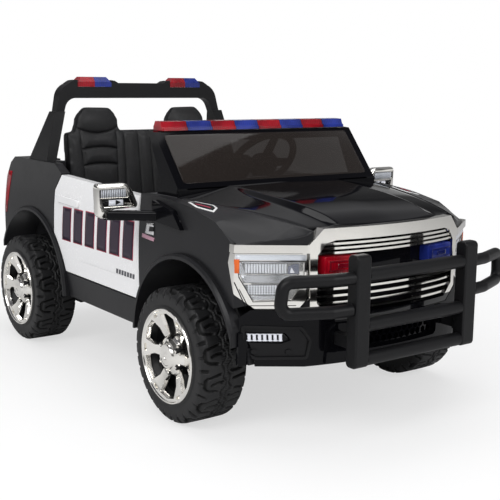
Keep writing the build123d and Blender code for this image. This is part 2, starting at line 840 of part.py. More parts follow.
def windscreen_frame():
    """Screen frame with deep raked pillars that stand on the cowl."""
    height = screen_height()
    face = Pos(0, height / 2) * Rectangle(2 * screen_half, height)
    sheet = extrude(screen_plane() * (face - screen_opening()), -screen_depth)
    x, z = screen_foot_x, screen_foot_z
    top_x, top_z = screen_head_x, screen_head_z
    foot_z = cowl_z + seat_gap
    side = outline(
        (x, z), (top_x, top_z), (top_x - 28, top_z + 2), (x - 70, z + 6), (x - 89, foot_z), (x + 2, foot_z)
    )
    pillar = along_y(side, screen_half - pillar_width, screen_half)
    header = along_y(
        outline(
            (top_x, top_z), (top_x + 6, top_z - 8), (top_x - 30, top_z - 12), (top_x - 44, top_z + 2)
        ),
        -screen_half,
        screen_half,
    )
    foot = block(x - 22, x + 2, -screen_half, screen_half, foot_z, z - 3)
    return sheet + pillar + mirrored(pillar) + header + foot


def windscreen_glass():
    """Tinted screen, let into the frame."""
    pane = offset(screen_opening(), -seat_gap)
    return extrude(screen_plane(glass_inset) * pane, -glass_thickness)


def light_bar_profile():
    """Cross-section of the light bar's lenses, on the screen header."""
    x, z = screen_head_x, screen_head_z + 2 + seat_gap
    return outline(
        (x - 40, z),
        (x + 2, z),
        (x + 1, z + 6),
        (x - 3, z + 8),
        (x - 8, z + 20),
        (x - 32, z + 21),
        (x - 40, z + 8),
    )


def light_bar_lenses(first):
    """Every second lens of the light bar."""
    pitch = 2 * light_bar_half / light_count
    lenses = []
    for i in range(first, light_count, 2):
        y = -light_bar_half + i * pitch
        lenses.append(along_y(light_bar_profile(), y + 0.2, y + pitch - 0.2))
    return lenses


# ------------------------------------------------------------------ roll bar and its lamps
roll_top_z = 708.0
roll_beam_height = 42.0
roll_step_z = 630.0
roll_foot_outer = side_half - 19.0
roll_step_outer = side_half - 53.0
roll_arch_outer = side_half - 61.0  # the arch's half width at the step
roll_head_outer = side_half - 80.0
roll_foot_inner = side_half - 47.0
roll_head_inner = side_half - 96.0
roll_outer_radius = 50.0
roll_inner_radius = 32.0
roll_step_front = 52.0
roll_step_rear = 20.0
roll_head_front = 44.0
roll_head_rear = 6.0
pod_centre_y = roll_head_inner - 83.0
pod_half = 51.0
pod_seat_z = roll_top_z - 11.0
pod_height = 27.0
pod_hump = 8.0  # the brackets at each end of a pod stand this far over the beam


def roll_bar():
    """Broad hoop behind the seats: two tapering legs on the bed sides, and a slimmer arch on them."""
    top, foot, step = roll_top_z, bed_top_z + seat_gap, roll_step_z
    buried = 40.0
    slope = (roll_arch_outer - roll_head_outer) / (top - step)
    low_half = roll_arch_outer + buried * slope
    outer = symmetric((roll_head_outer, top), (low_half, step - buried))
    outer = fillet([v for v in outer.vertices() if v.Y > step], roll_outer_radius)
    inner = symmetric((roll_head_inner, top - roll_beam_height), (roll_foot_inner, foot - 1))
    inner = fillet([v for v in inner.vertices() if v.Y > step], roll_inner_radius)
    arch_side = outline(
        (rear_x + roll_step_rear + 4, step - buried),
        (rear_x + roll_step_front - 4, step - buried),
        (rear_x + roll_head_front, top),
        (rear_x + roll_head_rear, top),
    )
    x0, x1 = rear_x - 80, rear_x + 120
    arch = along_x(outer - inner, x0, x1) & along_y(arch_side, -side_half, side_half)
    for side in (-1, 1):
        arch += pod_bracket(side * pod_centre_y)
    leg_front = outline(
        (roll_foot_outer, foot),
        (roll_step_outer, step),
        (roll_head_inner - 30, step),
        (roll_head_inner - 30, foot),
    )
    leg_side = outline(
        (rear_x + roll_foot_rear, foot),
        (rear_x + roll_foot_front, foot),
        (rear_x + roll_step_front, step),
        (rear_x + roll_step_rear, step),
    )
    leg = along_x(leg_front - inner, x0, x1) & along_y(leg_side, 0, side_half)
    return arch + leg + mirrored(leg) - pod_seat(pod_centre_y) - pod_seat(-pod_centre_y)


def pod_bracket(y):
    """Two humps on the beam that hold a lamp between them."""
    half, z = pod_half, roll_top_z
    humps = []
    for side in (-1, 1):
        face = outline(
            (y + side * (half - 2), z - 6),
            (y + side * (half - 2), z + pod_hump),
            (y + side * (half + 12), z + pod_hump - 2),
            (y + side * (half + 26), z - 2),
            (y + side * (half + 26), z - 6),
        )
        humps.append(along_x(face, rear_x + roll_head_rear, rear_x + roll_head_front))
    return humps[0] + humps[1]


def pod_seat(y):
    """The saddle in the beam that a lamp sits down into."""
    grow = seat_gap
    return block(
        rear_x + roll_head_rear - 10,
        rear_x + roll_head_front + 10,
        y - pod_half - grow,
        y + pod_half + grow,
        pod_seat_z - grow,
        roll_top_z + 60,
    )


def pod_lens(y, half):
    """Half of a roll bar lamp, a barrel with bevelled ends; `half` is -1 or 1."""
    x0, x1 = rear_x + roll_head_rear - 2, rear_x + roll_head_front + 2
    z0, z1, mid = pod_seat_z, pod_seat_z + pod_height, pod_seat_z + pod_height / 2
    side = outline((x0, z0), (x1, z0), (x1, mid), (x1 - 9, z1), (x0 + 9, z1), (x0, mid))
    end = pod_half
    front = outline((-end, z0), (end, z0), (end, mid - 2), (end - 12, z1), (12 - end, z1), (-end, mid - 2))
    lamp = along_y(side, -end, end) & along_x(front, x0, x1)
    y0, y1 = sorted((half * 0.2, half * end))
    return Pos(0, y, 0) * (lamp & block(x0, x1, y0, y1, z0, z1))


grille_lamp_inner = 92.0
grille_lamp_outer = 178.0
grille_lamp_z = 362.0
grille_lamp_height = 36.0


def grille_lamp(side):
    """Flashing lamp in front of the grille bars, with a stepped lens."""
    y = side * (grille_lamp_inner + grille_lamp_outer) / 2
    width = grille_lamp_outer - grille_lamp_inner
    face = Pos(y, grille_lamp_z) * RectangleRounded(width, grille_lamp_height, 6)
    lens = Pos(y, grille_lamp_z) * RectangleRounded(width - 16, grille_lamp_height - 14, 4)
    return on_nose(face, 8, -surround_depth) + on_nose(lens, 12, 0)


def warning_lenses_red():
    """Red lenses: every second one of the light bar, half of each roll bar lamp and one grille lamp."""
    pods = [pod_lens(side * pod_centre_y, -1) for side in (-1, 1)]
    lenses = [*light_bar_lenses(0), *pods, grille_lamp(-1)]
    return Compound(children=[s for lens in lenses for s in lens.solids()])


def warning_lenses_blue():
    """Blue lenses, in the other places."""
    pods = [pod_lens(side * pod_centre_y, 1) for side in (-1, 1)]
    lenses = [*light_bar_lenses(1), *pods, grille_lamp(1)]
    return Compound(children=[s for lens in lenses for s in lens.solids()])


# ------------------------------------------------------------------ cabin
dash_bottom_z = 330.0
dash_half = side_half - door_thickness - 18.0
seat_centre_y = 148.0
seat_half = cab_half - 6.0 - seat_centre_y
seat_low_half = bed_side_inner_half - 2.0
seat_front_x = rear_x + 306.0
seat_back_foot_x = rear_x + 72.0
seat_lean = 32.0
seat_back_thickness = 46.0
shoulder_z = 582.0
headrest_top_z = 648.0
headrest_half = 73.0
cushion_top_z = 372.0
cushion_width = 176.0
steering_centre = (front_x - 345.0, 128.0, 508.0)
steering_tilt_deg = 38.0
steering_wheel_radius = 94.0
steering_rim_radius = 9.0
steering_shaft_radius = 9.0
steering_shaft_length = 190.0
collar_radius = 24.0


def dash_outline():
    """The dash from the side."""
    x = front_x
    return outline(
        (x - 94, cowl_z - 2),
        (x - 92, dash_bottom_z),
        (x - 200, dash_bottom_z),
        (x - 236, 400),
        (x - 224, 452),
        (x - 190, cowl_z),
    )


def dashboard():
    """Dash under the screen, with a hood over the dials, a centre recess, vents and the cowl."""
    x, half = front_x, dash_half
    form = along_y(dash_outline(), -half, half)
    form = fillet(form.edges().filter_by(Axis.Y).sort_by(Axis.X)[:2], 10)
    roof = disc_y(x, arch_z, front_arch_radius + well_wall + 0.5, front_well_half - 1, outer_limit)
    form -= roof
    form -= mirrored(roof)
    hood_profile = outline(
        (x - 232, 440), (x - 226, cowl_z + 14), (x - 214, cowl_z + 20), (x - 176, cowl_z - 1), (x - 190, 440)
    )
    y = steering_centre[1]
    hood = along_y(hood_profile, y - 62, y + 62)
    hood -= extrude(steering_plane() * Circle(collar_radius + seat_gap), -steering_shaft_length)
    form += hood
    recess = Pos(0, 428) * RectangleRounded(130, 34, 6)
    form -= along_x(recess, x - 260, x - 222)
    for side in (-1, 1):
        vent = Pos(side * (half - 40), 430) * RectangleRounded(52, 28, 8)
        form -= along_x(vent, x - 260, x - 222)
        for z in (422, 430, 438):
            form += along_x(Pos(side * (half - 40), z) * Rectangle(52, 2.5), x - 226, x - 218)
    form -= steering_shaft(steering_shaft_radius + running_clearance)
    cowl_half = side_half - panel_wall - seat_gap
    form += block(door_front_x + panel_gap, screen_foot_x + 2, -cowl_half, cowl_half, 450, cowl_z)
    return largest(form)


def steering_plane(down=0.0):
    """At the wheel's centre or `down` the column, its normal along the column towards the driver."""
    tilt = math.radians(steering_tilt_deg)
    normal = Vector(-math.cos(tilt), 0, math.sin(tilt))
    return Plane(origin=Vector(*steering_centre) - normal * down, x_dir=(0, 1, 0), z_dir=normal)


def steering_shaft(radius):
    """The column's shaft, ahead of the wheel."""
    return extrude(steering_plane() * Circle(radius), -steering_shaft_length)


def steering_wheel():
    """Three-spoke wheel with a broad padded boss, on its shaft."""
    plane = steering_plane()
    reach = steering_wheel_radius
    section = plane * Plane.XZ * Pos(reach, 0) * Circle(steering_rim_radius)
    wheel = revolve(section, axis=Axis(plane.origin, plane.z_dir))
    boss = RectangleRounded(74, 58, 16)
    wheel += extrude(plane * boss, -22) + extrude(plane * boss, 3)
    for angle in (0, 180, 270):
        spoke = Rot(0, 0, angle) * outline((20, -13), (reach - 4, -9), (reach - 4, 9), (20, 13))
        wheel += extrude(plane * spoke, -8)
    return wheel + steering_shaft(steering_shaft_radius)


def steering_column():
    """Fixed collar on the dash round the steering shaft."""
    ring = Circle(collar_radius) - Circle(steering_shaft_radius + running_clearance)
    collar = extrude(steering_plane(62) * ring, -110)
    return largest(collar - along_y(dash_outline(), -dash_half, dash_half))


def pedal():
    """Foot pedal on its base plate."""
    x, y = front_x - 214, front_well_half - 48
    z = floor_z
    side = outline(
        (x, z + seat_gap),
        (x + 60, z + seat_gap),
        (x + 60, z + 7),
        (x + 52, z + 41),
        (x + 44, z + 41),
        (x + 34, z + 8),
        (x, z + 5),
    )
    plate = along_y(side, y - 30, y + 30)
    return fillet(plate.edges().filter_by(Axis.X).sort_by(Axis.Z)[-2:], 3)


def seat_cushions():
    """Two seat squabs on the seat box."""
    squab = block(
        seat_back_foot_x + 22,
        seat_front_x,
        seat_low_half - cushion_width,
        seat_low_half,
        seat_box_top_z + seat_gap,
        cushion_top_z,
    )
    squab = fillet(squab.edges().filter_by(Axis.Z), 22)
    squab = fillet(squab.faces().sort_by(Axis.Z)[-1].edges(), 14)
    return both(squab)


def seat_backs():
    """Two high backs with bell-shaped headrests, joined by a narrow centre panel."""
    y, low, wide = seat_centre_y, seat_box_top_z + seat_gap, headrest_half
    head = outline(
        (y - wide, shoulder_z - 6),
        (y - wide + 8, headrest_top_z - 30),
        (y - wide + 30, headrest_top_z),
        (y + wide - 30, headrest_top_z),
        (y + wide - 8, headrest_top_z - 30),
        (y + wide, shoulder_z - 6),
    )
    head = fillet([v for v in head.vertices() if v.Y > headrest_top_z - 10], 20)
    body = outline(
        (0, shoulder_z + 4),
        (y - wide - 6, shoulder_z + 4),
        (y + seat_half, shoulder_z - 6),
        (y + seat_half, wheel_box_top_z + 3),
        (seat_low_half, wheel_box_top_z + 3),
        (seat_low_half, low),
        (0, low),
    )
    body = fillet(body.vertices().sort_by_distance((y + seat_half, shoulder_z - 6))[0], 14)
    face_x = seat_back_foot_x + 18
    side = outline(
        (face_x - seat_back_thickness, low),
        (face_x, low),
        (face_x - seat_lean, shoulder_z),
        (face_x - seat_lean - 4, headrest_top_z),
        (face_x - seat_lean - 30, headrest_top_z),
        (face_x - seat_lean - seat_back_thickness + 8, shoulder_z),
    )
    half = along_x(body + head, rear_x - 60, rear_x + 200) & along_y(side, 0, side_half)
    return half + mirrored(half)


# ------------------------------------------------------------------ mirrors
mirror_x = front_x - 183.0
mirror_inner = side_half + 12.0
mirror_width = 102.0
mirror_bottom_z = 418.0
mirror_height = 77.0
mirror_depth = 28.0
mirror_lamp_depth = 4.0
mirror_arm_height = 22.0
mirror_arm_depth = 24.0


def mirror_outline(grow=0.0):
    """The mirror from the front: a broad head and a lower outer corner."""
    y0, y1 = mirror_inner, mirror_inner + mirror_width
    z0, z1 = mirror_bottom_z, mirror_bottom_z + mirror_height
    face = outline(
        (y0 + 20, z1),
        (y1 - 5, z1),
        (y1, z1 - 8),
        (y1 - 5, z0 + 5),
        (y1 - 14, z0),
        (y1 - 32, z0 + 1),
        (y1 - 40, z0 + 16),
        (y0 + 2, z0 + 19),
        (y0, z0 + 28),
    )
    return grown(face, grow)


def mirror_band(grow=0.0):
    """The lamp let into the mirror's front."""
    y0, y1, z = mirror_inner + 22, mirror_inner + mirror_width - 4, mirror_bottom_z + 45
    return grown(outline((y0 - 6, z), (y1, z), (y1, z + 16), (y0, z + 16)), grow)


def mirror_housings():
    """Chrome mirror shells, with a seat for the lamp and a reflector under it."""
    front = mirror_x + mirror_depth / 2
    shell = along_x(mirror_outline(), mirror_x - mirror_depth / 2, front)
    shell = chamfer(shell.faces().sort_by(Axis.X)[-1].edges(), 3)
    shell = chamfer(shell.faces().sort_by(Axis.X)[0].edges(), 3)
    shell -= along_x(mirror_band(), front - mirror_lamp_depth, front + 1)
    y, z = mirror_inner + mirror_width / 2 - 2, mirror_bottom_z + 31
    well = outline((y - 30, z - 8), (y + 26, z - 8), (y + 30, z + 9), (y - 34, z + 9))
    shell -= along_x(well, front - 5, front + 1)
    arrow = outline((y - 12, z - 5), (y + 8, z), (y - 12, z + 6))
    shell += along_x(arrow, front - 6, front - 2)
    glass = Pos(y, z + 10) * RectangleRounded(70, 42, 8)
    shell -= along_x(glass, mirror_x - mirror_depth / 2 - 1, mirror_x - mirror_depth / 2 + 1.5)
    return both(shell)


def mirror_lamps():
    """Fluted clear lamps in the mirrors."""
    front = mirror_x + mirror_depth / 2
    lamp = along_x(mirror_band(-seat_gap), front - mirror_lamp_depth + seat_gap, front - 1)
    y0, z = mirror_inner + 24, mirror_bottom_z + 53
    count = int((mirror_width - 30) / 6)
    for i in range(count):
        lamp += along_x(Pos(y0 + i * 6, z) * Rectangle(3, 14), front - 1.5, front + 0.5)
    return both(lamp)


def mirror_arms():
    """Black foot on the fender and the arm that carries the mirror."""
    x = front_x
    foot = along_y(
        outline((x - 124, 444), (x - 120, cowl_z - 6), (x - 42, 446), (x - 6, 408), (x - 105, 414)),
        side_half - 16,
        side_half + 7,
    )
    start = Vector(x - 108, side_half - 8, mirror_bottom_z + 8)
    end = Vector(mirror_x, mirror_inner + mirror_width - 24, mirror_bottom_z + 8)
    plane = Plane(origin=start, x_dir=(0, 0, 1), z_dir=(end - start))
    arm = extrude(plane * RectangleRounded(mirror_arm_height, mirror_arm_depth, 7), (end - start).length)
    half = mirror_depth / 2 + seat_gap
    arm -= along_x(mirror_outline(seat_gap), mirror_x - half, mirror_x + half)
    return both(largest(foot + arm - body_envelope(seat_gap)))


# ------------------------------------------------------------------ doors
hinge_x = door_front_x - hinge_depth
hinge_y = side_half - hinge_depth
hinge_z0 = door_bottom_z + 26.0
hinge_z1 = belt_front_z - 30.0
lug_height = 12.0


def hinge_lug_space(grow):
    """Where the hinge lugs reach round the pin."""
    spaces = []
    for z in (hinge_z0 + 14, hinge_z1 - 14):
        eye = Pos(hinge_x, hinge_y) * Circle(hinge_eye_radius + grow)
        spaces.append((eye, z - lug_height / 2 - grow, z + lug_height / 2 + grow))
    return spaces


def door():
    """Thick moulded door with a rounded front edge, a raised grip, a crease and an inner pocket."""
    inner = side_half - door_thickness
    form = body_envelope() & along_y(door_outline(), inner, outer_limit)
    nose = Pos(hinge_x, hinge_y) * Circle(hinge_depth) + outline(
        (hinge_x - 600, hinge_y - 60),
        (hinge_x, hinge_y - 60),
        (hinge_x, hinge_y + 60),
        (hinge_x - 600, hinge_y + 60),
    )
    form &= along_z(nose, sill_bottom_z, envelope_top_z)
    pin_hole = Pos(hinge_x, hinge_y) * Circle(hinge_pin_radius + running_clearance)
    form -= along_z(pin_hole, hinge_z0 - 1, hinge_z1 + 1)
    for eye, z0, z1 in hinge_lug_space(1.0):
        form -= along_z(eye, z0, z1)
        form -= block(hinge_x - hinge_eye_radius - 1, hinge_x + 60, 0, hinge_y + 6, z0, z1)
    x0, x1 = door_rear_x + 70, door_front_x - 70
    pocket = Pos((x0 + x1) / 2, (door_crease_z + belt_front_z) / 2) * RectangleRounded(x1 - x0, 130, 18)
    form -= along_y(pocket, inner - 1, inner + 9)
    crease = block(
        door_rear_x + 145, door_front_x - 52, inner, outer_limit, door_crease_z - 1, door_crease_z + 1
    )
    form -= crease & (body_envelope(5) - body_envelope(-1.2))
    grip = Pos(door_rear_x + 88, 410) * Rot(0, 0, -2) * RectangleRounded(122, 20, 8)
    handle = along_y(grip, side_half - 12, side_half + 4)
    handle = chamfer(handle.faces().sort_by(Axis.Y)[-1].edges(), 2)
    return form + handle


def door_hinges():
    """A pin and two lugs at each door's front edge."""
    form = along_z(Pos(hinge_x, hinge_y) * Circle(hinge_pin_radius), hinge_z0, hinge_z1)
    inner = side_half - door_thickness
    for eye, z0, z1 in hinge_lug_space(0.0):
        form += along_z(eye, z0, z1)
        form += block(hinge_x - 5, hinge_x + 5, inner - 14, hinge_y, z0, z1)
        form += block(hinge_x - 5, door_front_x + 26, inner - 14, inner - 6, z0, z1)
        form += block(door_front_x + 12, door_front_x + 26, inner - 14, side_half - panel_wall, z0, z1)
    return both(form)


# ------------------------------------------------------------------ running gear
kingpin_radius = 5.0
knuckle_radius = 12.0
steer_arm = 55.0
steer_arm_drop = 14.0
steer_arm_thickness = 8.0
tie_rod_thickness = 9.0
beam_radius = 13.0
yoke_half_height = 34.0
yoke_arm_height = 9.0
gearbox_width = 68.0


def front_axle():
    """Beam across the front with a yoke and kingpin at each end."""
    x = front_x
    beam = round_bar((x, 28 - kingpin_y, axle_z), (x, kingpin_y - 28, axle_z), beam_radius)
    for y in (-110, 110):
        beam += block(x - 20, x + 20, y - 15, y + 15, axle_z, floor_bottom_z - seat_gap)
    z0, z1 = axle_z - yoke_half_height, axle_z + yoke_half_height
    back = block(x - 12, x + 12, kingpin_y - 34, kingpin_y - 24, z0, z1)
    yoke = back + along_z(Pos(x, kingpin_y) * Circle(kingpin_radius), z0, z1)
    for z in (z0, z1 - yoke_arm_height):
        plate = Pos(x, kingpin_y) * Circle(knuckle_radius) + Pos(x, kingpin_y - 17) * Rectangle(24, 34)
        yoke += along_z(plate, z, z + yoke_arm_height)
    yoke -= block(x - 60, x + 60, 0, front_well_half + well_wall + 0.5, floor_bottom_z - seat_gap, 600)
    return beam + yoke + mirrored(yoke)


def knuckle():
    """Steering knuckle: kingpin barrel, stub axle and steering arm."""
    half = yoke_half_height - yoke_arm_height - running_clearance
    eye_x, arm_z, thick = front_x - steer_arm, axle_z - steer_arm_drop, steer_arm_thickness / 2
    form = along_z(Pos(front_x, kingpin_y) * Circle(knuckle_radius), axle_z - half, axle_z + half)
    form += disc_y(front_x, axle_z, axle_radius, kingpin_y, tyre_outer_half - axle_end_inset)
    form += disc_y(front_x, axle_z, axle_radius + 3, kingpin_y, tyre_inner_half + 3)
    form += block(eye_x, front_x - 6, kingpin_y - 9, kingpin_y + 9, arm_z - thick, arm_z + thick)
    form += along_z(Pos(eye_x, kingpin_y) * Circle(9), arm_z - thick, arm_z + thick)
    form += along_z(Pos(eye_x, kingpin_y) * Circle(4), arm_z, arm_z + 16)
    form -= along_z(Pos(front_x, kingpin_y) * Circle(kingpin_radius + running_clearance), 0, 2 * axle_z)
    return form


def tie_rod():
    """Rod that links the two steering arms, with slotted eyes."""
    z0 = axle_z - steer_arm_drop + steer_arm_thickness / 2 + 0.5
    z1 = z0 + tie_rod_thickness
    x = front_x - steer_arm
    bar = block(x - 6, x + 6, -kingpin_y, kingpin_y, z0, z1)
    for y in (-kingpin_y, kingpin_y):
        bar += along_z(Pos(x + 2, y) * RectangleRounded(34, 26, 12.5), z0, z1)
    for y in (-kingpin_y, kingpin_y):
        bar -= along_z(Pos(x + 2, y) * RectangleRounded(18, 11, 5.4), z0 - 1, z1 + 1)
    return bar


def rear_axle():
    """Steel shaft across the rear."""
    reach = tyre_outer_half - axle_end_inset
    return disc_y(rear_x, axle_z, axle_radius, -reach, reach)


def gearboxes():
    """Motor and gearbox inside each rear wheel, bolted under the floor."""
    y1 = rear_well_half - 4
    y0 = y1 - gearbox_width
    box = disc_y(rear_x, axle_z, 44, y0, y1) + block(rear_x + 10, rear_x + 96, y0 + 6, y1 - 8, 104, 160)
    box -= block(rear_x - 60, rear_x + 120, y0 - 1, y1 + 1, floor_bottom_z - seat_gap, 400)
    form = box + disc_y(rear_x + 74, 130, 24, y0 - 46, y0 + 10)
    form -= disc_y(rear_x, axle_z, axle_radius + running_clearance, 0, outer_limit)
    return both(form)


# ------------------------------------------------------------------ wheels
def tread_polygon(x, top, turn):
    """A ring of flat lugs on the tread's floor, seen from the side."""
    floor = tyre_diameter / 2 - tread_depth
    pitch = 2 * math.pi / tread_lug_count
    points = []
    for i in range(tread_lug_count):
        start = turn + i * pitch
        end = start + tread_lug_share * pitch
        for angle, radius in ((start, floor), (start, top), (end, top), (end, floor)):
            points.append((x + radius * math.cos(angle), axle_z + radius * math.sin(angle)))
    return outline(*points)


def tread_plane(y):
    """Side view plane at a distance from the centre line."""
    return Plane(origin=(0, y, 0), x_dir=(1, 0, 0), z_dir=(0, -1, 0))


def tyre_at(x):
    """Tyre with two staggered rows of lugs beside a middle rib."""
    radius = tyre_diameter / 2
    inner, outer = tyre_inner_half, tyre_outer_half
    down = -math.pi / 2
    form = along_y(
        Pos(x, axle_z) * RegularPolygon(radius - tread_rib_drop, 2 * tread_lug_count), inner + 20, outer - 20
    )
    for face, edge, turn in ((outer, -1, 0.0), (inner, 1, 0.5)):
        turn = down + turn * 2 * math.pi / tread_lug_count
        bevel, end = face + edge * shoulder_width, face + edge * tread_row_width
        form += along_y(tread_polygon(x, radius, turn), *sorted((bevel, end)))
        form += loft(
            [
                tread_plane(bevel) * tread_polygon(x, radius, turn),
                tread_plane(face) * tread_polygon(x, radius - tread_depth + 2, turn),
            ],
            ruled=True,
        )
    return form - disc_y(x, axle_z, rim_seat_radius, inner - 1, outer + 1)


def rim_at(x):
    """Rim with six windowed spokes, a pocket at each spoke's end and a domed hub with lug nuts."""
    inner, outer = tyre_inner_half, tyre_outer_half
    seat, flange = rim_seat_radius - seat_gap, rim_diameter / 2
    dish = outer - 16
    cap = hub_cap_radius
    half = make_face(
        Polyline(
            (seat, inner + 10),
            (seat, outer + seat_gap),
            (flange, outer + seat_gap),
            (flange, outer + 3),
            (flange - 5, outer + 4),
            (flange - 13, outer),
            (flange - 18, outer - 4),
            (hub_radius + 2, dish),
            (hub_radius - 4, dish + 5),
            (hub_radius - 15, dish + 8),
            (cap + 3, outer - 2),
            (cap, outer),
            (0, outer),
            (0, dish - 16),
            (hub_radius, dish - 16),
            (hub_radius + 4, dish - 9),
            (flange - 20, outer - 14),
            (seat - rim_wall, outer - 18),
            (seat - rim_wall, inner + 10),
            close=True,
        )
    )
    axis = Axis((x, 0, axle_z), (0, 1, 0))
    place = Plane(origin=(x, 0, axle_z), x_dir=(1, 0, 0), z_dir=(0, 0, 1))
    rim = revolve(place * half, axis=axis)
    rim += disc_y(x, axle_z, 18, inner + 4, dish - 8)
    window = outline((44, -7), (64, -18), (82, -14), (82, 14), (64, 18), (44, 7))
    bevel = grown(window, 3)
    pocket = Pos(86, 0) * RectangleRounded(9, 15, 2)
    nut = Pos(lug_nut_circle, 0) * RegularPolygon(4.5, 6)
    pitch = 360 / spoke_count
    hub_face = Circle(hub_cap_radius - 4)
    for i in range(spoke_count):
        turn = Rot(0, 0, pitch * (i + 0.5))
        rim -= along_y(Pos(x, axle_z) * turn * window, dish - 40, outer + 5)
        rim -= along_y(Pos(x, axle_z) * turn * bevel, dish + 5, outer + 5)
        spoke = Rot(0, 0, pitch * i)
        rim -= along_y(Pos(x, axle_z) * spoke * pocket, outer - 7, outer + 5)
        rim += along_y(Pos(x, axle_z) * turn * nut, dish, outer - 3)
    rim -= along_y(Pos(x, axle_z) * hub_face, outer - 1.5, outer + 5)
    bore_end = outer - axle_end_inset + 1
    return rim - disc_y(x, axle_z, axle_radius + running_clearance, inner, bore_end)


# ------------------------------------------------------------------ nodes
def all_nodes():
    """Every node by name."""
    paired = {
        "fender": front_fender(),
        "bed_side": bed_side(),
        "door": door(),
        "knuckle": knuckle(),
        "rim_front": rim_at(front_x),
        "rim_rear": rim_at(rear_x),
        "tyre_front": tyre_at(front_x),
        "tyre_rear": tyre_at(rear_x),
    }
    nodes = {
        "floor_pan": floor_pan(),
        "seat_box": seat_box(),
        "firewall": firewall(),
        "bonnet": bonnet(),
        "bed_floor": bed_floor(),
        "tailgate": tailgate(),
        "front_bumper": front_bumper(),
        "rear_bumper": rear_bumper(),
        "grille": grille(),
        "headlamp_housings": both(headlamp_housing()),
        "headlamps": both(headlamp_lens()),
        "fog_bezels": both(fog_bezel()),
        "fog_lamps": both(fog_lamp()),
        "tail_lamps": tail_lamps(),
        "bull_bar_uprights": bull_bar_uprights(),
        "bull_bar_tubes": bull_bar_tubes(),
        "bull_bar_loops": bull_bar_loops(),
        "windscreen_frame": windscreen_frame(),
        "windscreen_glass": windscreen_glass(),
        "warning_lenses_red": warning_lenses_red(),
        "warning_lenses_blue": warning_lenses_blue(),
        "roll_bar": roll_bar(),
        "dashboard": dashboard(),
        "steering_column": steering_column(),
        "steering_wheel": steering_wheel(),
        "pedal": pedal(),
        "seat_cushions": seat_cushions(),
        "seat_backs": seat_backs(),
        "battery": battery(),
        "mirror_housings": mirror_housings(),
        "mirror_lamps": mirror_lamps(),
        "mirror_arms": mirror_arms(),
        "door_hinges": door_hinges(),
        "front_axle": front_axle(),
        "tie_rod": tie_rod(),
        "rear_axle": rear_axle(),
        "gearboxes": gearboxes(),
    }
    for name, shape in paired.items():
        nodes[f"{name}_left"] = shape
        nodes[f"{name}_right"] = mirrored(shape)
    return nodes


os.makedirs("parts", exist_ok=True)
for name, shape in all_nodes().items():
    export_step(shape, f"parts/{name}.step")
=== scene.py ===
"""A child's ride-on police pickup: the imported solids, dressed with their finished surfaces."""

import json
import math

import bmesh
import bpy
from mathutils import Matrix, Vector
from mathutils.bvhtree import BVHTree

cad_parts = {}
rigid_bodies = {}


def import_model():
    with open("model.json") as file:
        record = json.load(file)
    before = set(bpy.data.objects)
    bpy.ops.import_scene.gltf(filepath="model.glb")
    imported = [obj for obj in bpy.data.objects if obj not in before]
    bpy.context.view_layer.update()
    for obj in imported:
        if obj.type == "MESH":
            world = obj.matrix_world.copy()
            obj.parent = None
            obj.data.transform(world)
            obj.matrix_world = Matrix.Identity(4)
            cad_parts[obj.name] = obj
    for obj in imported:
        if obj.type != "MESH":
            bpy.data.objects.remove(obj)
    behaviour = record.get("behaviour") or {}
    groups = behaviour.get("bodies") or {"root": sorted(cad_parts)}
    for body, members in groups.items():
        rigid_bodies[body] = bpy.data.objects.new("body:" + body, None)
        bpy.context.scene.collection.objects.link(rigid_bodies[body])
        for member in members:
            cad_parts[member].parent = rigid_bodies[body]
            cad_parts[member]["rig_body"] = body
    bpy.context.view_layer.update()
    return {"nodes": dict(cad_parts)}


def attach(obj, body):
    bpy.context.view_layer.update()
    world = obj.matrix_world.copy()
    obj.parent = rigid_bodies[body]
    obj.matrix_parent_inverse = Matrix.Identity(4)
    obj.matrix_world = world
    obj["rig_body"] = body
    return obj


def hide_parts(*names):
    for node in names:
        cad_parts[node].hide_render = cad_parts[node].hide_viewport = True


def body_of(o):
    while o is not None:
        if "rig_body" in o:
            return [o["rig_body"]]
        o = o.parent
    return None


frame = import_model()
nodes = frame["nodes"]
MM = 0.001


# ---------------------------------------------------------------- shader values
class Val:
    """A value on a surface; sums on it add Math nodes."""

    def __init__(self, look, socket):
        self.look, self.socket = look, socket

    def sum(self, operation, *terms):
        return self.look.add("ShaderNodeMath", {"operation": operation}, dict(enumerate(terms)))

    def __add__(self, other):
        return self.sum("ADD", self, other)

    def __sub__(self, other):
        return self.sum("SUBTRACT", self, other)

    def __rsub__(self, other):
        return self.sum("SUBTRACT", other, self)

    def __mul__(self, other):
        return self.sum("MULTIPLY", self, other)

    def wave(self):
        return self.sum("SINE", self)

    def least(self, other):
        return self.sum("MINIMUM", self, other)

    def most(self, other):
        return self.sum("MAXIMUM", self, other)

    def above(self, edge, soft):
        """0 below the edge and 1 above it, over a soft band."""
        settings = {"operation": "DIVIDE", "use_clamp": True}
        return self.look.add("ShaderNodeMath", settings, {0: self - (edge - soft / 2), 1: soft})

    def __getitem__(self, name):
        """Another output of the same node."""
        return Val(self.look, self.socket.node.outputs[name])

    __radd__ = __add__
    __rmul__ = __mul__


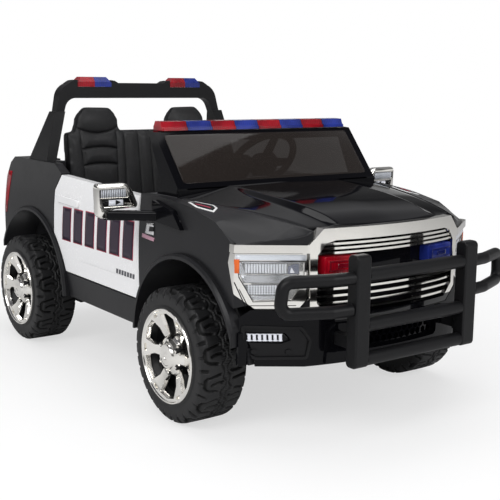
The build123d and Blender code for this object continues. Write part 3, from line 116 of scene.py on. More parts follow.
class Look:
    """One node tree: a new material's, or that of the world it is given."""

    def __init__(self, name, world=None):
        self.material = None if world else bpy.data.materials.new(name)
        owner = world or self.material
        owner.use_nodes = True
        self.tree = owner.node_tree
        self.tree.nodes.clear()
        self.end = self.tree.nodes.new("ShaderNodeOutputWorld" if world else "ShaderNodeOutputMaterial")

    def add(self, kind, settings=None, values=None, out=0):
        """A node of a type, with its settings and then its socket values or links."""
        node = self.tree.nodes.new(kind)
        for key, value in (settings or {}).items():
            if key == "stops":
                ramp = node.color_ramp.elements
                while len(ramp) < len(value):
                    ramp.new(0.5)
                for stop, (place, colour) in zip(ramp, value):
                    stop.position, stop.color = place, (*colour, 1.0)
            else:
                setattr(node, key, value)
        for key, value in (values or {}).items():
            self.feed(node.inputs[key], value)
        return Val(self, node.outputs[out])

    def feed(self, socket, value):
        if isinstance(value, Val):
            self.tree.links.new(value.socket, socket)
        elif isinstance(value, tuple) and len(value) == 3 and socket.type == "RGBA":
            socket.default_value = (*value, 1.0)
        else:
            socket.default_value = value

    def place(self, scale=(1.0, 1.0, 1.0), turn=(0.0, 0.0, 0.0), shift=(0.0, 0.0, 0.0)):
        """Object coordinates, centred, turned and scaled."""
        at = self.add("ShaderNodeTexCoord")["Object"]
        return self.add(
            "ShaderNodeMapping",
            {"vector_type": "TEXTURE"},
            {"Vector": at, "Location": shift, "Rotation": turn, "Scale": scale},
        )

    def noise(self, at, scale, detail=3.0, rough=0.5):
        return self.add(
            "ShaderNodeTexNoise", None, {"Vector": at, "Scale": scale, "Detail": detail, "Roughness": rough}
        )

    def mix(self, share, first, second):
        """Two colours by a share."""
        return self.add("ShaderNodeMix", {"data_type": "RGBA"}, {0: share, 6: first, 7: second}, out=2)

    def bump(self, height, strength, depth):
        return self.add("ShaderNodeBump", None, {"Height": height, "Strength": strength, "Distance": depth})

    def surface(self, **values):
        """The shader itself: names are the sockets', with _ for a space."""
        named = {key.replace("_", " "): value for key, value in values.items()}
        shade = self.add("ShaderNodeBsdfPrincipled", None, named)
        self.feed(self.end.inputs["Surface"], shade)
        return self.material


def shade_of(colour, share):
    """A colour made darker or lighter."""
    return tuple(min(c * share, 1.0) for c in colour)


def moulded(
    name,
    colour,
    rough,
    grain=1100.0,
    grain_depth=0.00006,
    grain_pull=0.25,
    speck=0.06,
    coat=0.0,
    shine=0.22,
    wear=1.0,
):
    """Moulded plastic: a fine grain, faint colour drift and handling marks in the gloss."""
    look = Look(name)
    at = look.place()
    drift = look.noise(at, 7.0, 4.0)
    marks = look.noise(at, 23.0, 6.0, 0.65)
    grit = look.noise(at, grain, 2.0)
    share = (drift * 0.6 + grit * 0.4).above(0.5, 0.3)
    base = look.mix(share, shade_of(colour, 1 - speck), shade_of(colour, 1 + speck))
    rub = marks.above(0.62, 0.25)
    lift = look.noise(at, 160.0, 2.0) * 0.5 + grit
    return look.surface(
        Base_Color=base,
        Roughness=rough + rub * (0.06 * wear) + grit * 0.05,
        Coat_Weight=coat - rub * (coat * 0.3 * wear),
        Coat_Roughness=0.04,
        Specular_IOR_Level=shine,
        Normal=look.bump(lift, grain_pull, grain_depth),
    )


def polished(name, colour, rough=0.03):
    """Black lacquered plastic: a deep clear gloss with a faint ripple and fine dust."""
    look = Look(name)
    at = look.place()
    ripple = look.noise(at, 26.0, 1.0)
    dust = look.noise(at, 900.0, 3.0, 0.7).above(0.70, 0.06)
    cloud = look.noise(at, 9.0, 5.0).above(0.55, 0.35)
    return look.surface(
        Base_Color=look.mix(dust * cloud * 0.20, colour, (0.10, 0.10, 0.11)),
        Roughness=rough + cloud * 0.035 + dust * 0.15,
        Specular_IOR_Level=0.14,
        Normal=look.bump(ripple, 0.08, 0.0005),
    )


def plated(name, colour, rough=0.07, ripple=0.06, painted_below=0.0):
    """Vacuum-plated plastic: bright, slightly warm, with soft waves; painted black below a height in m."""
    look = Look(name)
    at = look.place()
    paint = 1 - look.add("ShaderNodeSeparateXYZ", None, {0: at})["Z"].above(painted_below, 0.001)
    wave = look.noise(at, 30.0, 2.0)
    haze = look.noise(at, 12.0, 5.0, 0.6)
    speck = look.noise(at, 700.0, 2.0).above(0.68, 0.08)
    return look.surface(
        Base_Color=look.mix(
            paint, look.mix(haze, shade_of(colour, 0.93), shade_of(colour, 1.04)), (0.003, 0.003, 0.004)
        ),
        Metallic=(1.0 - speck * 0.1) * (1 - paint),
        Roughness=rough + haze * 0.04 + speck * 0.10,
        Normal=look.bump(wave, ripple, 0.0008),
    )


def lens_plastic(name, colour, deep, rib=0.0, rib_axis="Y"):
    """Coloured lamp plastic with optics moulded inside, and painted light in its colour: random lighter
    patches, lighter and darker stripes over the ribs, and a faint glow of its own colour though its lamp is
    not lit.
    """
    look = Look(name)
    at = look.place()
    parts = look.add("ShaderNodeSeparateXYZ", None, {0: at})
    # The ribs: moulded bumps, and painted sheen as lighter and darker stripes in the colour.
    ribs_and_painted_sheen = (parts[rib_axis] * rib).wave() * 0.5 + 0.5
    # Painted glow: random patches where the colour is lighter.
    glow = look.noise(at, 22.0, 3.0).above(0.5, 0.35)
    base = look.mix(glow * 0.6 + ribs_and_painted_sheen * 0.25 + 0.15, deep, colour)
    return look.surface(
        Base_Color=base,
        Roughness=0.10 + glow * 0.05,
        Specular_IOR_Level=0.35,
        # Painted glow: a faint emission of the lens colour, though its lamp is not lit.
        Emission_Color=base,
        Emission_Strength=0.05,
        Normal=look.bump(ribs_and_painted_sheen, 0.25, 0.0008),
    )


def clear_plastic(name, tint, alpha, rough=0.04):
    """Clear or smoked sheet, seen through by its alpha."""
    look = Look(name)
    at = look.place()
    haze = look.noise(at, 14.0, 5.0)
    scuff = look.noise(at, 320.0, 3.0).above(0.66, 0.1)
    return look.surface(
        Base_Color=look.mix(haze, shade_of(tint, 0.9), shade_of(tint, 1.1)),
        Roughness=rough + haze * 0.04 + scuff * 0.05,
        Alpha=alpha + scuff * 0.03,
        Specular_IOR_Level=0.3,
    )


def leather(name, colour):
    """Black leatherette: pebbled grain with fine creases and worn high spots."""
    look = Look(name)
    at = look.place()
    warp = look.noise(at, 60.0, 2.0)
    pebble = look.add("ShaderNodeTexVoronoi", {"feature": "DISTANCE_TO_EDGE"}, {"Vector": at, "Scale": 330.0})
    crease = look.noise(at, 42.0, 6.0, 0.7)
    worn = crease.above(0.6, 0.2)
    height = pebble.least(0.12) * 6.0 + crease * 0.5
    return look.surface(
        Base_Color=look.mix(worn * 0.6 + warp * 0.2, colour, shade_of(colour, 2.1)),
        Roughness=0.42 + warp * 0.14 - worn * 0.06,
        Specular_IOR_Level=0.35,
        Coat_Weight=0.12 + worn * 0.1,
        Coat_Roughness=0.35,
        Normal=look.bump(height, 0.38, 0.0005),
    )


def tyre_plastic(name, colour):
    """Tyre plastic: dull on the tread, a little glossier on the wall, with dust and scuffs on it and painted
    shade darkening the grooves.
    """
    look = Look(name)
    at = look.place()
    dust = look.noise(at, 18.0, 6.0, 0.7)
    grit = look.noise(at, 1300.0, 3.0)
    scuff = look.noise(at, 90.0, 4.0).above(0.58, 0.2)
    # Depth of the tread's grooves, from the mesh: painted shade in them and a rougher finish.
    groove = look.add("ShaderNodeAttribute", {"attribute_name": "groove"})["Fac"]
    high = look.mix(dust * 0.5 + scuff * 0.4, shade_of(colour, 0.8), shade_of(colour, 1.5))
    return look.surface(
        # Painted shade: the grooves' colour is darkened by their depth.
        Base_Color=look.mix(groove, high, shade_of(colour, 0.15)),
        Roughness=0.40 + dust * 0.14 + scuff * 0.06 + groove * 0.25,
        Specular_IOR_Level=0.4,
        Normal=look.bump(grit + scuff, 0.35, 0.00012),
    )


CHARCOAL = (0.0135, 0.0135, 0.0150)
LOOKS = {
    "satin_black": moulded("satin_charcoal", CHARCOAL, 0.30, grain=500.0, grain_depth=0.00004),
    "gloss_black": polished("gloss_black", (0.003, 0.003, 0.004), 0.05),
    "matte_black": moulded("matte_black", (0.0062, 0.0062, 0.007), 0.38, grain=1500.0, grain_depth=0.0001),
    "white_plastic": moulded(
        "white_plastic",
        (0.87, 0.87, 0.875),
        0.24,
        grain=300.0,
        grain_depth=0.00002,
        speck=0.008,
        coat=0.3,
        shine=0.5,
        wear=0.15,
    ),
    "chrome": plated("warm_chrome", (0.93, 0.915, 0.87), 0.06),
    "clear_lens": clear_plastic("clear_lens", (0.92, 0.94, 0.95), 0.10),
    "red_lens": lens_plastic("red_lens", (0.36, 0.003, 0.012), (0.07, 0.001, 0.004), 1100.0),
    "blue_lens": lens_plastic("blue_lens", (0.020, 0.038, 0.28), (0.006, 0.010, 0.07), 1100.0),
    "smoked_screen": clear_plastic("smoked_screen", (0.020, 0.016, 0.014), 0.86),
    "black_leather": leather("black_leather", (0.0062, 0.0062, 0.0070)),
    "grey_plastic": moulded("grey_plastic", (0.08, 0.08, 0.085), 0.45, grain=1300.0, grain_depth=0.00008),
    "steel": plated("zinc_steel", (0.55, 0.55, 0.55), 0.25),
    "tyre": tyre_plastic("tyre_plastic", (0.0085, 0.0085, 0.0092)),
}


# ---------------------------------------------------------------- mesh tools
WELD = 0.02  # mm within which a solid's corners are one
FLAT_DEG = 0.2  # below this, neighbouring triangles are one face
ROUND_STEPS, ROUND_CORNER_DEG = 2, 32.0
SHARP_CORNER_DEG = 34.0


def body_name(node):
    """The body that a solid's node moves with."""
    return body_of(nodes[node])[0]


def linked(name, data):
    """A new object in the scene."""
    item = bpy.data.objects.new(name, data)
    bpy.context.scene.collection.objects.link(item)
    return item


def smoothed(mesh):
    """The mesh with smooth shading."""
    for face in mesh.polygons:
        face.use_smooth = True
    return mesh


def plain_mesh(name, made):
    """A mesh from a bmesh, which is then freed."""
    mesh = bpy.data.meshes.new(name)
    made.to_mesh(mesh)
    made.free()
    return mesh


def new_piece(name, mesh, slot, body, look=None):
    """A finished piece at the origin, riding on its body."""
    piece = linked(name, mesh)
    mesh.materials.clear()
    mesh.materials.append(look or LOOKS[slot])
    for face in mesh.polygons:
        face.material_index = 0
    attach(piece, body)
    return piece


def evaluated(holder):
    """The object's finished mesh, its modifiers applied."""
    graph = bpy.context.evaluated_depsgraph_get()
    graph.update()
    made = bpy.data.meshes.new_from_object(holder.evaluated_get(graph), depsgraph=graph)
    bpy.data.objects.remove(holder)
    return made


def softened(mesh, width):
    """The mesh with rounded edges and smooth shading."""
    holder = linked("holder", smoothed(mesh))
    round_off = holder.modifiers.new("round", "BEVEL")
    round_off.width = width * MM
    round_off.segments = ROUND_STEPS
    round_off.limit_method = "ANGLE"
    round_off.angle_limit = math.radians(ROUND_CORNER_DEG)
    round_off.use_clamp_overlap = True
    round_off.miter_outer = "MITER_ARC"
    round_off.harden_normals = False
    made = evaluated(holder)
    made.set_sharp_from_angle(angle=math.radians(SHARP_CORNER_DEG))
    holder = linked("holder", made)
    even = holder.modifiers.new("even", "WEIGHTED_NORMAL")
    even.mode, even.weight, even.keep_sharp = "FACE_AREA", 80, True
    return evaluated(holder)


def sharpened(mesh, corner_deg):
    """Smooth shading with sharp corners."""
    smoothed(mesh).set_sharp_from_angle(angle=math.radians(corner_deg))
    return mesh


def welded(node):
    """A copy of a solid's mesh with its triangles joined up."""
    made = bmesh.new()
    made.from_mesh(nodes[node].data)
    flat = math.radians(FLAT_DEG)
    bmesh.ops.remove_doubles(made, verts=made.verts, dist=WELD * MM)
    bmesh.ops.dissolve_limit(made, angle_limit=flat, verts=made.verts, edges=made.edges)
    return plain_mesh(node + "_skin", made)


def dressed(node, slot, width, look=None):
    """A solid of the frame with soft edges, in its finish."""
    piece = new_piece(node + "_skin", softened(welded(node), width), slot, body_name(node), look)
    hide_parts(node)


def kept(node, slot):
    """A solid of the frame that shows as it is, in its finish."""
    holder = nodes[node]
    for place in holder.material_slots:
        place.material = LOOKS[slot]
    if not holder.material_slots:
        holder.data.materials.append(LOOKS[slot])


# ---------------------------------------------------------------- sizes the pieces share, in mm
FRONT_X, REAR_X = 337.0, -463.0
AXLE_Z = 145.0
TYRE_OUT, TYRE_IN = 370.0, 258.0
SIDE_HALF, SIDE_RADIUS, SIDE_MID_Z = 326.0, 1400.0, 310.0
NOSE_RADIUS, NOSE_CENTRE = 733.6, FRONT_X - 443.6
CUT_X, CUT_Y = FRONT_X + 259.0, 211.0  # where the nose's cut corner starts
CUT_DEPTH, CUT_WIDTH = 77.0, 111.0
CUT_NORMAL = (0.8216, 0.57)
NOSE_STEP = 9.0  # between the points of an outline on the nose


def side_y(z):
    """Half width of the barrelled body sides at a height."""
    return SIDE_HALF - SIDE_RADIUS + math.sqrt(SIDE_RADIUS**2 - (z - SIDE_MID_Z) ** 2)


def nose_x(y, proud=0.0):
    """The nose's face from above: a wide curve and two cut corners."""
    curve = NOSE_CENTRE + math.sqrt((NOSE_RADIUS + proud) ** 2 - y * y)
    ahead, aside = CUT_NORMAL
    cut = CUT_X + ahead * proud - (abs(y) - CUT_Y - aside * proud) * CUT_DEPTH / CUT_WIDTH
    return min(curve, cut)


def between(a, b, share):
    return a + (b - a) * share


# ---------------------------------------------------------------- bodies of polygons
def mesh_of(name, made, merge=0.0):
    """A clean smooth mesh from a bmesh, its faces outwards."""
    if merge:
        bmesh.ops.remove_doubles(made, verts=made.verts, dist=merge * MM)
    bmesh.ops.recalc_face_normals(made, faces=made.faces)
    return smoothed(plain_mesh(name, made))


def bridge(made, low, high, closed=True):
    """Quads between two rows of corners."""
    count = len(low)
    for k in range(count if closed else count - 1):
        n = (k + 1) % count
        made.faces.new((low[k], low[n], high[n], high[k]))


def add_rings(made, rings, closed=True, caps=True):
    """Quads between rings of points in mm, and end caps."""
    rows = [[made.verts.new(Vector(p) * MM) for p in ring] for ring in rings]
    for low, high in zip(rows, rows[1:]):
        bridge(made, low, high, closed)
    if caps:
        made.faces.new(rows[0])
        made.faces.new(reversed(rows[-1]))
    return rows


def grown_outline(points, amount):
    """A convex outline with its edges moved outwards."""
    turn = sum(a[0] * b[1] - b[0] * a[1] for a, b in zip(points, points[1:] + points[:1]))
    sign = 1.0 if turn > 0 else -1.0
    out = []
    for last, here, following in zip(points[-1:] + points[:-1], points, points[1:] + points[:1]):
        a = Vector((here[0] - last[0], here[1] - last[1])).normalized()
        b = Vector((following[0] - here[0], following[1] - here[1])).normalized()
        na, nb = Vector((a.y, -a.x)) * sign, Vector((b.y, -b.x)) * sign
        mitre = (na + nb) / max(1.0 + na.dot(nb), 0.3)
        out.append((here[0] + mitre.x * amount, here[1] + mitre.y * amount))
    return out


def divided(points, step):
    """An outline with extra points, so that it follows a curved face."""
    out = []
    for here, following in zip(points, points[1:] + points[:1]):
        count = max(1, int(math.dist(here, following) / step))
        out += [
            (between(here[0], following[0], i / count), between(here[1], following[1], i / count))
            for i in range(count)
        ]
    return out


def nose_plate(points, outer, inner):
    """A plate with a (y, z) outline that follows the left half of the nose's face."""
    made = bmesh.new()
    edge = divided(points, NOSE_STEP)
    mid_y = sum(p[0] for p in edge) / len(edge)
    mid_z = sum(p[1] for p in edge) / len(edge)
    rings, rims = [], []
    for share in (0.0, 0.5, 0.8, 1.0):
        rings.append([(between(mid_y, y, share), between(mid_z, z, share)) for y, z in edge])
    for depth in (outer, inner):
        rows = [[made.verts.new(Vector((nose_x(y, depth), y, z)) * MM) for y, z in ring] for ring in rings]
        made.faces.new(rows[0])
        for low, high in zip(rows, rows[1:]):
            bridge(made, low, high)
        rims.append(rows[-1])
    bridge(made, *rims)
    return mesh_of("plate", made, 0.01)


def nose_line(points, half, outer, inner):
    """A thin strip along a line of (y, z) points on the nose."""
    strips = []
    for (y0, z0), (y1, z1) in zip(points, points[1:]):
        run = math.hypot(y1 - y0, z1 - z0)
        a, b = (y1 - y0) / run * half, (z1 - z0) / run * half
        edge = [
            (y0 - a - b, z0 - b + a),
            (y0 - a + b, z0 - b - a),
            (y1 + a + b, z1 + b - a),
            (y1 + a - b, z1 + b + a),
        ]
        strips.append(nose_plate(edge, outer, inner))
    return joined(strips)


def surface_of(*meshes):
    """A search tree over finished surfaces."""
    made = bmesh.new()
    for mesh in meshes:
        made.from_mesh(mesh)
    tree = BVHTree.FromBMesh(made)
    made.free()
    return tree


RAY_SIDE, RAY_TOP = 600.0, 800.0  # where the rays that find a surface start
LABEL_SINK = -0.4  # how far a label's rim goes under the surface


def draped(points, surface, proud, on_top=False, step=8.0):
    """A thin label on a surface of the left side: points are (x, z), or (x, y) when it lies on top."""
    made = bmesh.new()
    edge = divided(points, step)
    mid = [sum(p[i] for p in edge) / len(edge) for i in (0, 1)]
    rows = []
    for share, lift in ((0.0, proud), (0.35, proud), (0.7, proud), (1.0, proud), (1.0, LABEL_SINK)):
        row = []
        for here in edge:
            a, b = between(mid[0], here[0], share), between(mid[1], here[1], share)
            start, ahead = Vector((a, RAY_SIDE, b)), Vector((0, -1, 0))
            if on_top:
                start, ahead = Vector((a, b, RAY_TOP)), Vector((0, 0, -1))
            place, normal, _, _ = surface.ray_cast(start * MM, ahead)
            row.append(made.verts.new(place + normal * (lift * MM)))
        rows.append(row)
    for low, high in zip(rows, rows[1:]):
        bridge(made, low, high)
    made.faces.new(reversed(rows[0]))
    made.faces.new(rows[-1])
    return mesh_of("label", made, 0.01)


def joined(meshes):
    """Several meshes as one."""
    made = bmesh.new()
    for mesh in meshes:
        made.from_mesh(mesh)
    return plain_mesh("joined", made)


def swapped(mesh):
    """The mesh on the truck's other side, faces outwards."""
    made = bmesh.new()
    made.from_mesh(mesh)
    for vert in made.verts:
        vert.co.y = -vert.co.y
    bmesh.ops.reverse_faces(made, faces=made.faces)
    return plain_mesh(mesh.name + "_other", made)


def paired(mesh):
    """The mesh and its copy on the truck's other side."""
    return joined([mesh, swapped(mesh)])


def moved(mesh, x=0.0, y=0.0, z=0.0):
    """The mesh shifted by mm."""
    mesh.transform(Matrix.Translation(Vector((x, y, z)) * MM))
    return mesh


# ---------------------------------------------------------------- repeats
def pattern_tree():
    """Copies of one small piece in a row or round a centre."""
    tree = bpy.data.node_groups.new("pattern", "GeometryNodeTree")
    tree.interface.new_socket("Geometry", in_out="OUTPUT", socket_type="NodeSocketGeometry")
    for name, kind in (
        ("Piece", "NodeSocketObject"),
        ("Count", "NodeSocketInt"),
        ("Start", "NodeSocketVector"),
        ("Step", "NodeSocketVector"),
        ("Turn", "NodeSocketVector"),
        ("Finish", "NodeSocketMaterial"),
    ):
        tree.interface.new_socket(name, in_out="INPUT", socket_type=kind)
    add, link = tree.nodes.new, tree.links.new
    given, index, points = add("NodeGroupInput"), add("GeometryNodeInputIndex"), add("GeometryNodePoints")
    place, turn = add("ShaderNodeVectorMath"), add("ShaderNodeVectorMath")
    place.operation, turn.operation = "MULTIPLY_ADD", "MULTIPLY"
    piece, copies = add("GeometryNodeObjectInfo"), add("GeometryNodeInstanceOnPoints")
    real, finish = add("GeometryNodeRealizeInstances"), add("GeometryNodeSetMaterial")
    end = add("NodeGroupOutput")
    link(given.outputs["Count"], points.inputs["Count"])
    link(given.outputs["Step"], place.inputs[0])
    link(index.outputs[0], place.inputs[1])
    link(given.outputs["Start"], place.inputs[2])
    link(place.outputs[0], points.inputs["Position"])
    link(given.outputs["Turn"], turn.inputs[0])
    link(index.outputs[0], turn.inputs[1])
    link(given.outputs["Piece"], piece.inputs["Object"])
    link(points.outputs[0], copies.inputs["Points"])
    link(piece.outputs["Geometry"], copies.inputs["Instance"])
    link(turn.outputs[0], copies.inputs["Rotation"])
    link(copies.outputs[0], real.inputs[0])
    link(real.outputs[0], finish.inputs["Geometry"])
    link(given.outputs["Finish"], finish.inputs["Material"])
    link(finish.outputs[0], end.inputs[0])
    return tree


PATTERN = pattern_tree()
SOCKETS = {item.name: item.identifier for item in PATTERN.interface.items_tree if item.in_out == "INPUT"}


def repeated(mesh, count, finish, start=(0.0, 0.0, 0.0), step=(0.0, 0.0, 0.0), turn=(0.0, 0.0, 0.0)):
    """One plain mesh with `count` copies of a small one."""
    source = linked("source", mesh)
    holder = linked("holder", bpy.data.meshes.new("holder"))
    maker = holder.modifiers.new("pattern", "NODES")
    maker.node_group = PATTERN
    for name, value in (
        ("Piece", source),
        ("Count", count),
        ("Start", tuple(c * MM for c in start)),
        ("Step", tuple(c * MM for c in step)),
        ("Turn", turn),
        ("Finish", finish),
    ):
        maker[SOCKETS[name]] = value
    made = evaluated(holder)
    bpy.data.objects.remove(source)
    return made


# ---------------------------------------------------------------- tyres
TREAD_GROUPS = 15
TREAD_STEPS = 48  # round the tyre, in each group
TREAD_ROWS = 78  # across the tyre
TYRE_SPAN, TYRE_CROWN = 290.0, 144.9  # diameter, and the tread's radius in the middle
TYRE_MID = (TYRE_IN + TYRE_OUT) / 2
SHOULDER = 15.0  # width over which the tread rounds off


def stroke(u, v, a, b, half):
    """1 within half a width of a straight groove, falling off softly."""
    ax, ay, bx, by = *a, *b
    along = max(
        0.0, min(1.0, ((u - ax) * (bx - ax) + (v - ay) * (by - ay)) / ((bx - ax) ** 2 + (by - ay) ** 2))
    )
    gap = math.hypot(u - between(ax, bx, along), v - between(ay, by, along))
    return max(0.0, min(1.0, (half - gap) / 0.9 + 0.5))


GROUP_WIDTH = math.pi * TYRE_SPAN / TREAD_GROUPS
HOOK = ((22, 40), (18, 22), (15, 9), (9, 6), (-9, 7), (-13, 12), (-16, 33))
TONGUE = ((0, 20), (4, 34), (3, 46))
ZIGZAG = ((-30.4, 50), (-19, 43), (-8, 54), (6, 56), (13, 47), (30.4, 50))


def groove_depth(u, v):
    """How deep the tread is cut at u mm round a group and v mm in from the shoulder's foot."""
    deep = 0.0
    for line, half, depth in ((HOOK, 2.7, 6.5), (TONGUE, 3.0, 6.0), (ZIGZAG, 1.8, 3.5)):
        for a, b in zip(line, line[1:]):
            for shift in (-GROUP_WIDTH, 0.0, GROUP_WIDTH):
                if abs(u + shift) < 42:
                    deep = max(deep, depth * stroke(u + shift, v, a, b, half))
    if v < 13.0:
        lug = max(0.0, 1.0 - abs(abs(u) - GROUP_WIDTH / 2) / 4.5)
        deep = max(deep, 6.0 * min(1.0, lug * 2.0) * min(1.0, (13.0 - v) / 4.0))
    if v < 5.0:
        deep = max(deep, 4.0 * min(1.0, max(0.0, 1.0 - abs(u) / 3.5) * 2.0) * min(1.0, (5.0 - v) / 2.0))
    if 42 < v < 62 and deep < 0.5:
        beat = (u / 5.07) % 1.0
        deep = max(deep, 1.5 * max(0.0, 1.0 - abs(beat - 0.5) * 4.5))
    return deep


def tyre_mesh():
    """The left-hand tyre round the origin: moulded tread, shoulder lugs and a ringed side wall."""
    wall = (
        (94.2, 369.7), (101.8, 369.7), (103.2, 370.0), (105.5, 370.0), (107.0, 368.4), (110.0, 368.2),
        (121.0, 369.4), (128.5, 368.8),
    )
    tread = []
    for i in range(TREAD_ROWS + 1):
        share = i / TREAD_ROWS
        y = between(TYRE_OUT - 1.6, TYRE_IN + 1.6, share)
        edge = min(y - TYRE_IN, TYRE_OUT - y)
        radius = TYRE_CROWN - max(0.0, SHOULDER - edge) ** 2 * 0.066 - abs(share - 0.5) ** 2 * 3.0
        tread.append((radius, y, min(share, 1 - share) * 112.0, 1.0 if share <= 0.5 else -1.0))
    made = bmesh.new()
    total = TREAD_GROUPS * TREAD_STEPS
    cut = {}
    for k in range(TREAD_STEPS):
        for j, (_, _, v, half) in enumerate(tread):
            u = (k / TREAD_STEPS - 0.5) * GROUP_WIDTH
            if half < 0:
                u = -u + GROUP_WIDTH / 2
                u -= GROUP_WIDTH if u > GROUP_WIDTH / 2 else 0.0
            cut[k, j] = groove_depth(u, v)
    rings = []
    profile = list(wall) + [None] * len(tread)
    profile += [(r, TYRE_IN + TYRE_OUT - y) for r, y in reversed(wall)]
    for j, spot in enumerate(profile):
        ring = []
        for k in range(total):
            turn = 2 * math.pi * k / total
            if spot:
                radius, y = spot
            else:
                radius, y, _, _ = tread[j - len(wall)]
                depth = cut[k % TREAD_STEPS, j - len(wall)]
                lean = max(0.0, 1.0 - min(y - TYRE_IN, TYRE_OUT - y) / 14.0)
                radius -= depth
                y += depth * 0.6 * lean * (-1.0 if y > TYRE_MID else 1.0)
            ring.append((radius * math.cos(turn), y, radius * math.sin(turn)))
        rings.append(ring)
    rings.append(rings[0])
    # The grooves' depth, which the tyre's finish uses for painted shade in them.
    deep = made.verts.layers.float.new("groove")
    for row, spots in enumerate(add_rings(made, rings, caps=False)):
        if len(wall) <= row < len(wall) + len(tread):
            for k, vert in enumerate(spots):
                vert[deep] = min(cut[k % TREAD_STEPS, row - len(wall)] / 5.0, 1.0)
    return mesh_of("tyre", made, 0.01)


# ---------------------------------------------------------------- wheel covers
BOLT_CIRCLE = 35.0  # radius


def supported(profile, reach=0.8):
    """The outline with extra points beside each corner, which keep the shading of its flats even."""
    out = []
    for here, following in zip(profile, profile[1:]):
        out.append(here)
        run = math.dist(here, following)
        if run > 3.0 * reach:
            for share in (reach / run, 1.0 - reach / run):
                out.append((between(here[0], following[0], share), between(here[1], following[1], share)))
    return out + [profile[-1]]


def turned(profile, count, name="turned"):
    """A (radius, y) outline spun round the y axis."""
    made = bmesh.new()
    rings = []
    turns = [2 * math.pi * k / count for k in range(count)]
    for radius, y in supported(profile):
        radius = max(radius, 0.001)
        rings.append([(radius * math.cos(turn), y, radius * math.sin(turn)) for turn in turns])
    add_rings(made, rings, caps=False)
    return mesh_of(name, made, 0.01)


def prism_y(rings, turn=0.0):
    """A solid between outlines of (x, z) points at several depths, turned round the y axis."""
    made = bmesh.new()
    c, s = math.cos(turn), math.sin(turn)
    add_rings(made, [[(x * c - z * s, y, x * s + z * c) for x, z in ring] for y, ring in rings])
    return mesh_of("prism", made)


def cut_away(mesh, cutters):
    """The mesh less the cutters."""
    holder, tool = linked("holder", mesh), linked("tool", joined(cutters))
    cut = holder.modifiers.new("cut", "BOOLEAN")
    cut.operation, cut.object, cut.solver = "DIFFERENCE", tool, "EXACT"
    made = evaluated(holder)
    bpy.data.objects.remove(tool)
    return made


def six_sided(half):
    """A hexagon of (x, z) points on the wheel's bolt circle."""
    turns = [math.radians(60 * k) for k in range(6)]
    return [(BOLT_CIRCLE + half * math.cos(turn), half * math.sin(turn)) for turn in turns]


def wheel_cover():
    """The left-hand plated cover round the origin: six wedge windows, end pockets and a domed hub."""
    profile = (
        (94.5, 352.0), (101.4, 352.0), (101.4, 372.4), (100.4, 373.9), (97.6, 373.9), (96.0, 371.4),
        (90.0, 370.6),
        (84.0, 368.4), (62.0, 360.8), (50.0, 356.6), (47.5, 354.6), (45.5, 354.6), (43.5, 358.0),
        (39.0, 362.4), (31.0, 366.4),
        (27.6, 368.6), (26.0, 371.6), (24.6, 372.9), (22.4, 373.4), (20.5, 373.4), (19.2, 372.4),
        (10.0, 373.0), (9.0, 373.4),
        (7.5, 373.4), (6.6, 372.4), (0.0, 372.6), (0.0, 343.0), (44.0, 343.0), (50.0, 349.0),
        (62.0, 353.0), (84.0, 360.6),
        (92.0, 362.4), (94.5, 360.0), (94.5, 352.0),
    )
    body = turned(profile, 144, "wheel_cover")
    window = [
        (42.0, -8.0), (62.0, -19.5), (80.0, -20.0), (84.5, 0.0), (80.0, 20.0), (62.0, 19.5), (42.0, 8.0)
    ]
    pocket = [(86.0, -8.5), (93.0, -8.0), (93.0, 8.0), (86.0, 8.5)]
    cutters, bolts = [], []
    for i in range(6):
        turn = math.radians(60 * i + 30)
        rings = [
            (378.0, grown_outline(window, 9.0)),
            (368.0, grown_outline(window, 7.0)),
            (353.0, grown_outline(window, 1.6)),
            (330.0, grown_outline(window, 1.4)),
        ]
        cutters.append(prism_y(rings, turn))
        rings = [(376.0, grown_outline(pocket, 0.8)), (366.5, grown_outline(pocket, -1.0))]
        cutters.append(prism_y(rings, math.radians(60 * i)))
        bolts.append(
            prism_y([(350.0, six_sided(3.6)), (367.6, six_sided(3.6)), (369.0, six_sided(2.6))], turn)
        )
    return joined([cut_away(body, cutters)] + bolts)


COVER_CHROME = plated("cover_chrome", (0.95, 0.93, 0.885), 0.12, 0.02)
WHEEL_BACK = LOOKS["matte_black"]
tyre_shape = tyre_mesh()
cover_shape = sharpened(wheel_cover(), 24.0)
back_shape = turned(
    (
        (0.0, 338.0), (90.0, 336.0), (93.5, 340.0), (93.5, 268.0), (88.0, 268.0), (88.0, 330.0),
        (0.0, 332.0), (0.0, 338.0),
    ),
    96,
)
nut_wells = [
    prism_y([(345.0, six_sided(6.2)), (366.0, six_sided(6.2))], math.radians(60 * i + 30)) for i in range(6)
]
back_shape = joined([back_shape] + nut_wells)
for end, centre_x in (("front", FRONT_X), ("rear", REAR_X)):
    for side in ("left", "right"):
        body = f"wheel_{end}_{side}"
        for part, shape, slot, look, stands_for in (
            ("tyre", tyre_shape, "tyre", None, f"tyre_{end}_{side}"),
            ("cover", cover_shape, "chrome", COVER_CHROME, f"rim_{end}_{side}"),
            ("barrel", back_shape, "chrome", WHEEL_BACK, f"rim_{end}_{side}"),
        ):
            mesh = shape.copy() if side == "left" else swapped(shape)
            piece = new_piece(f"{part}_{end}_{side}", moved(mesh, centre_x, 0.0, AXLE_Z), slot, body, look)
            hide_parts(stands_for)


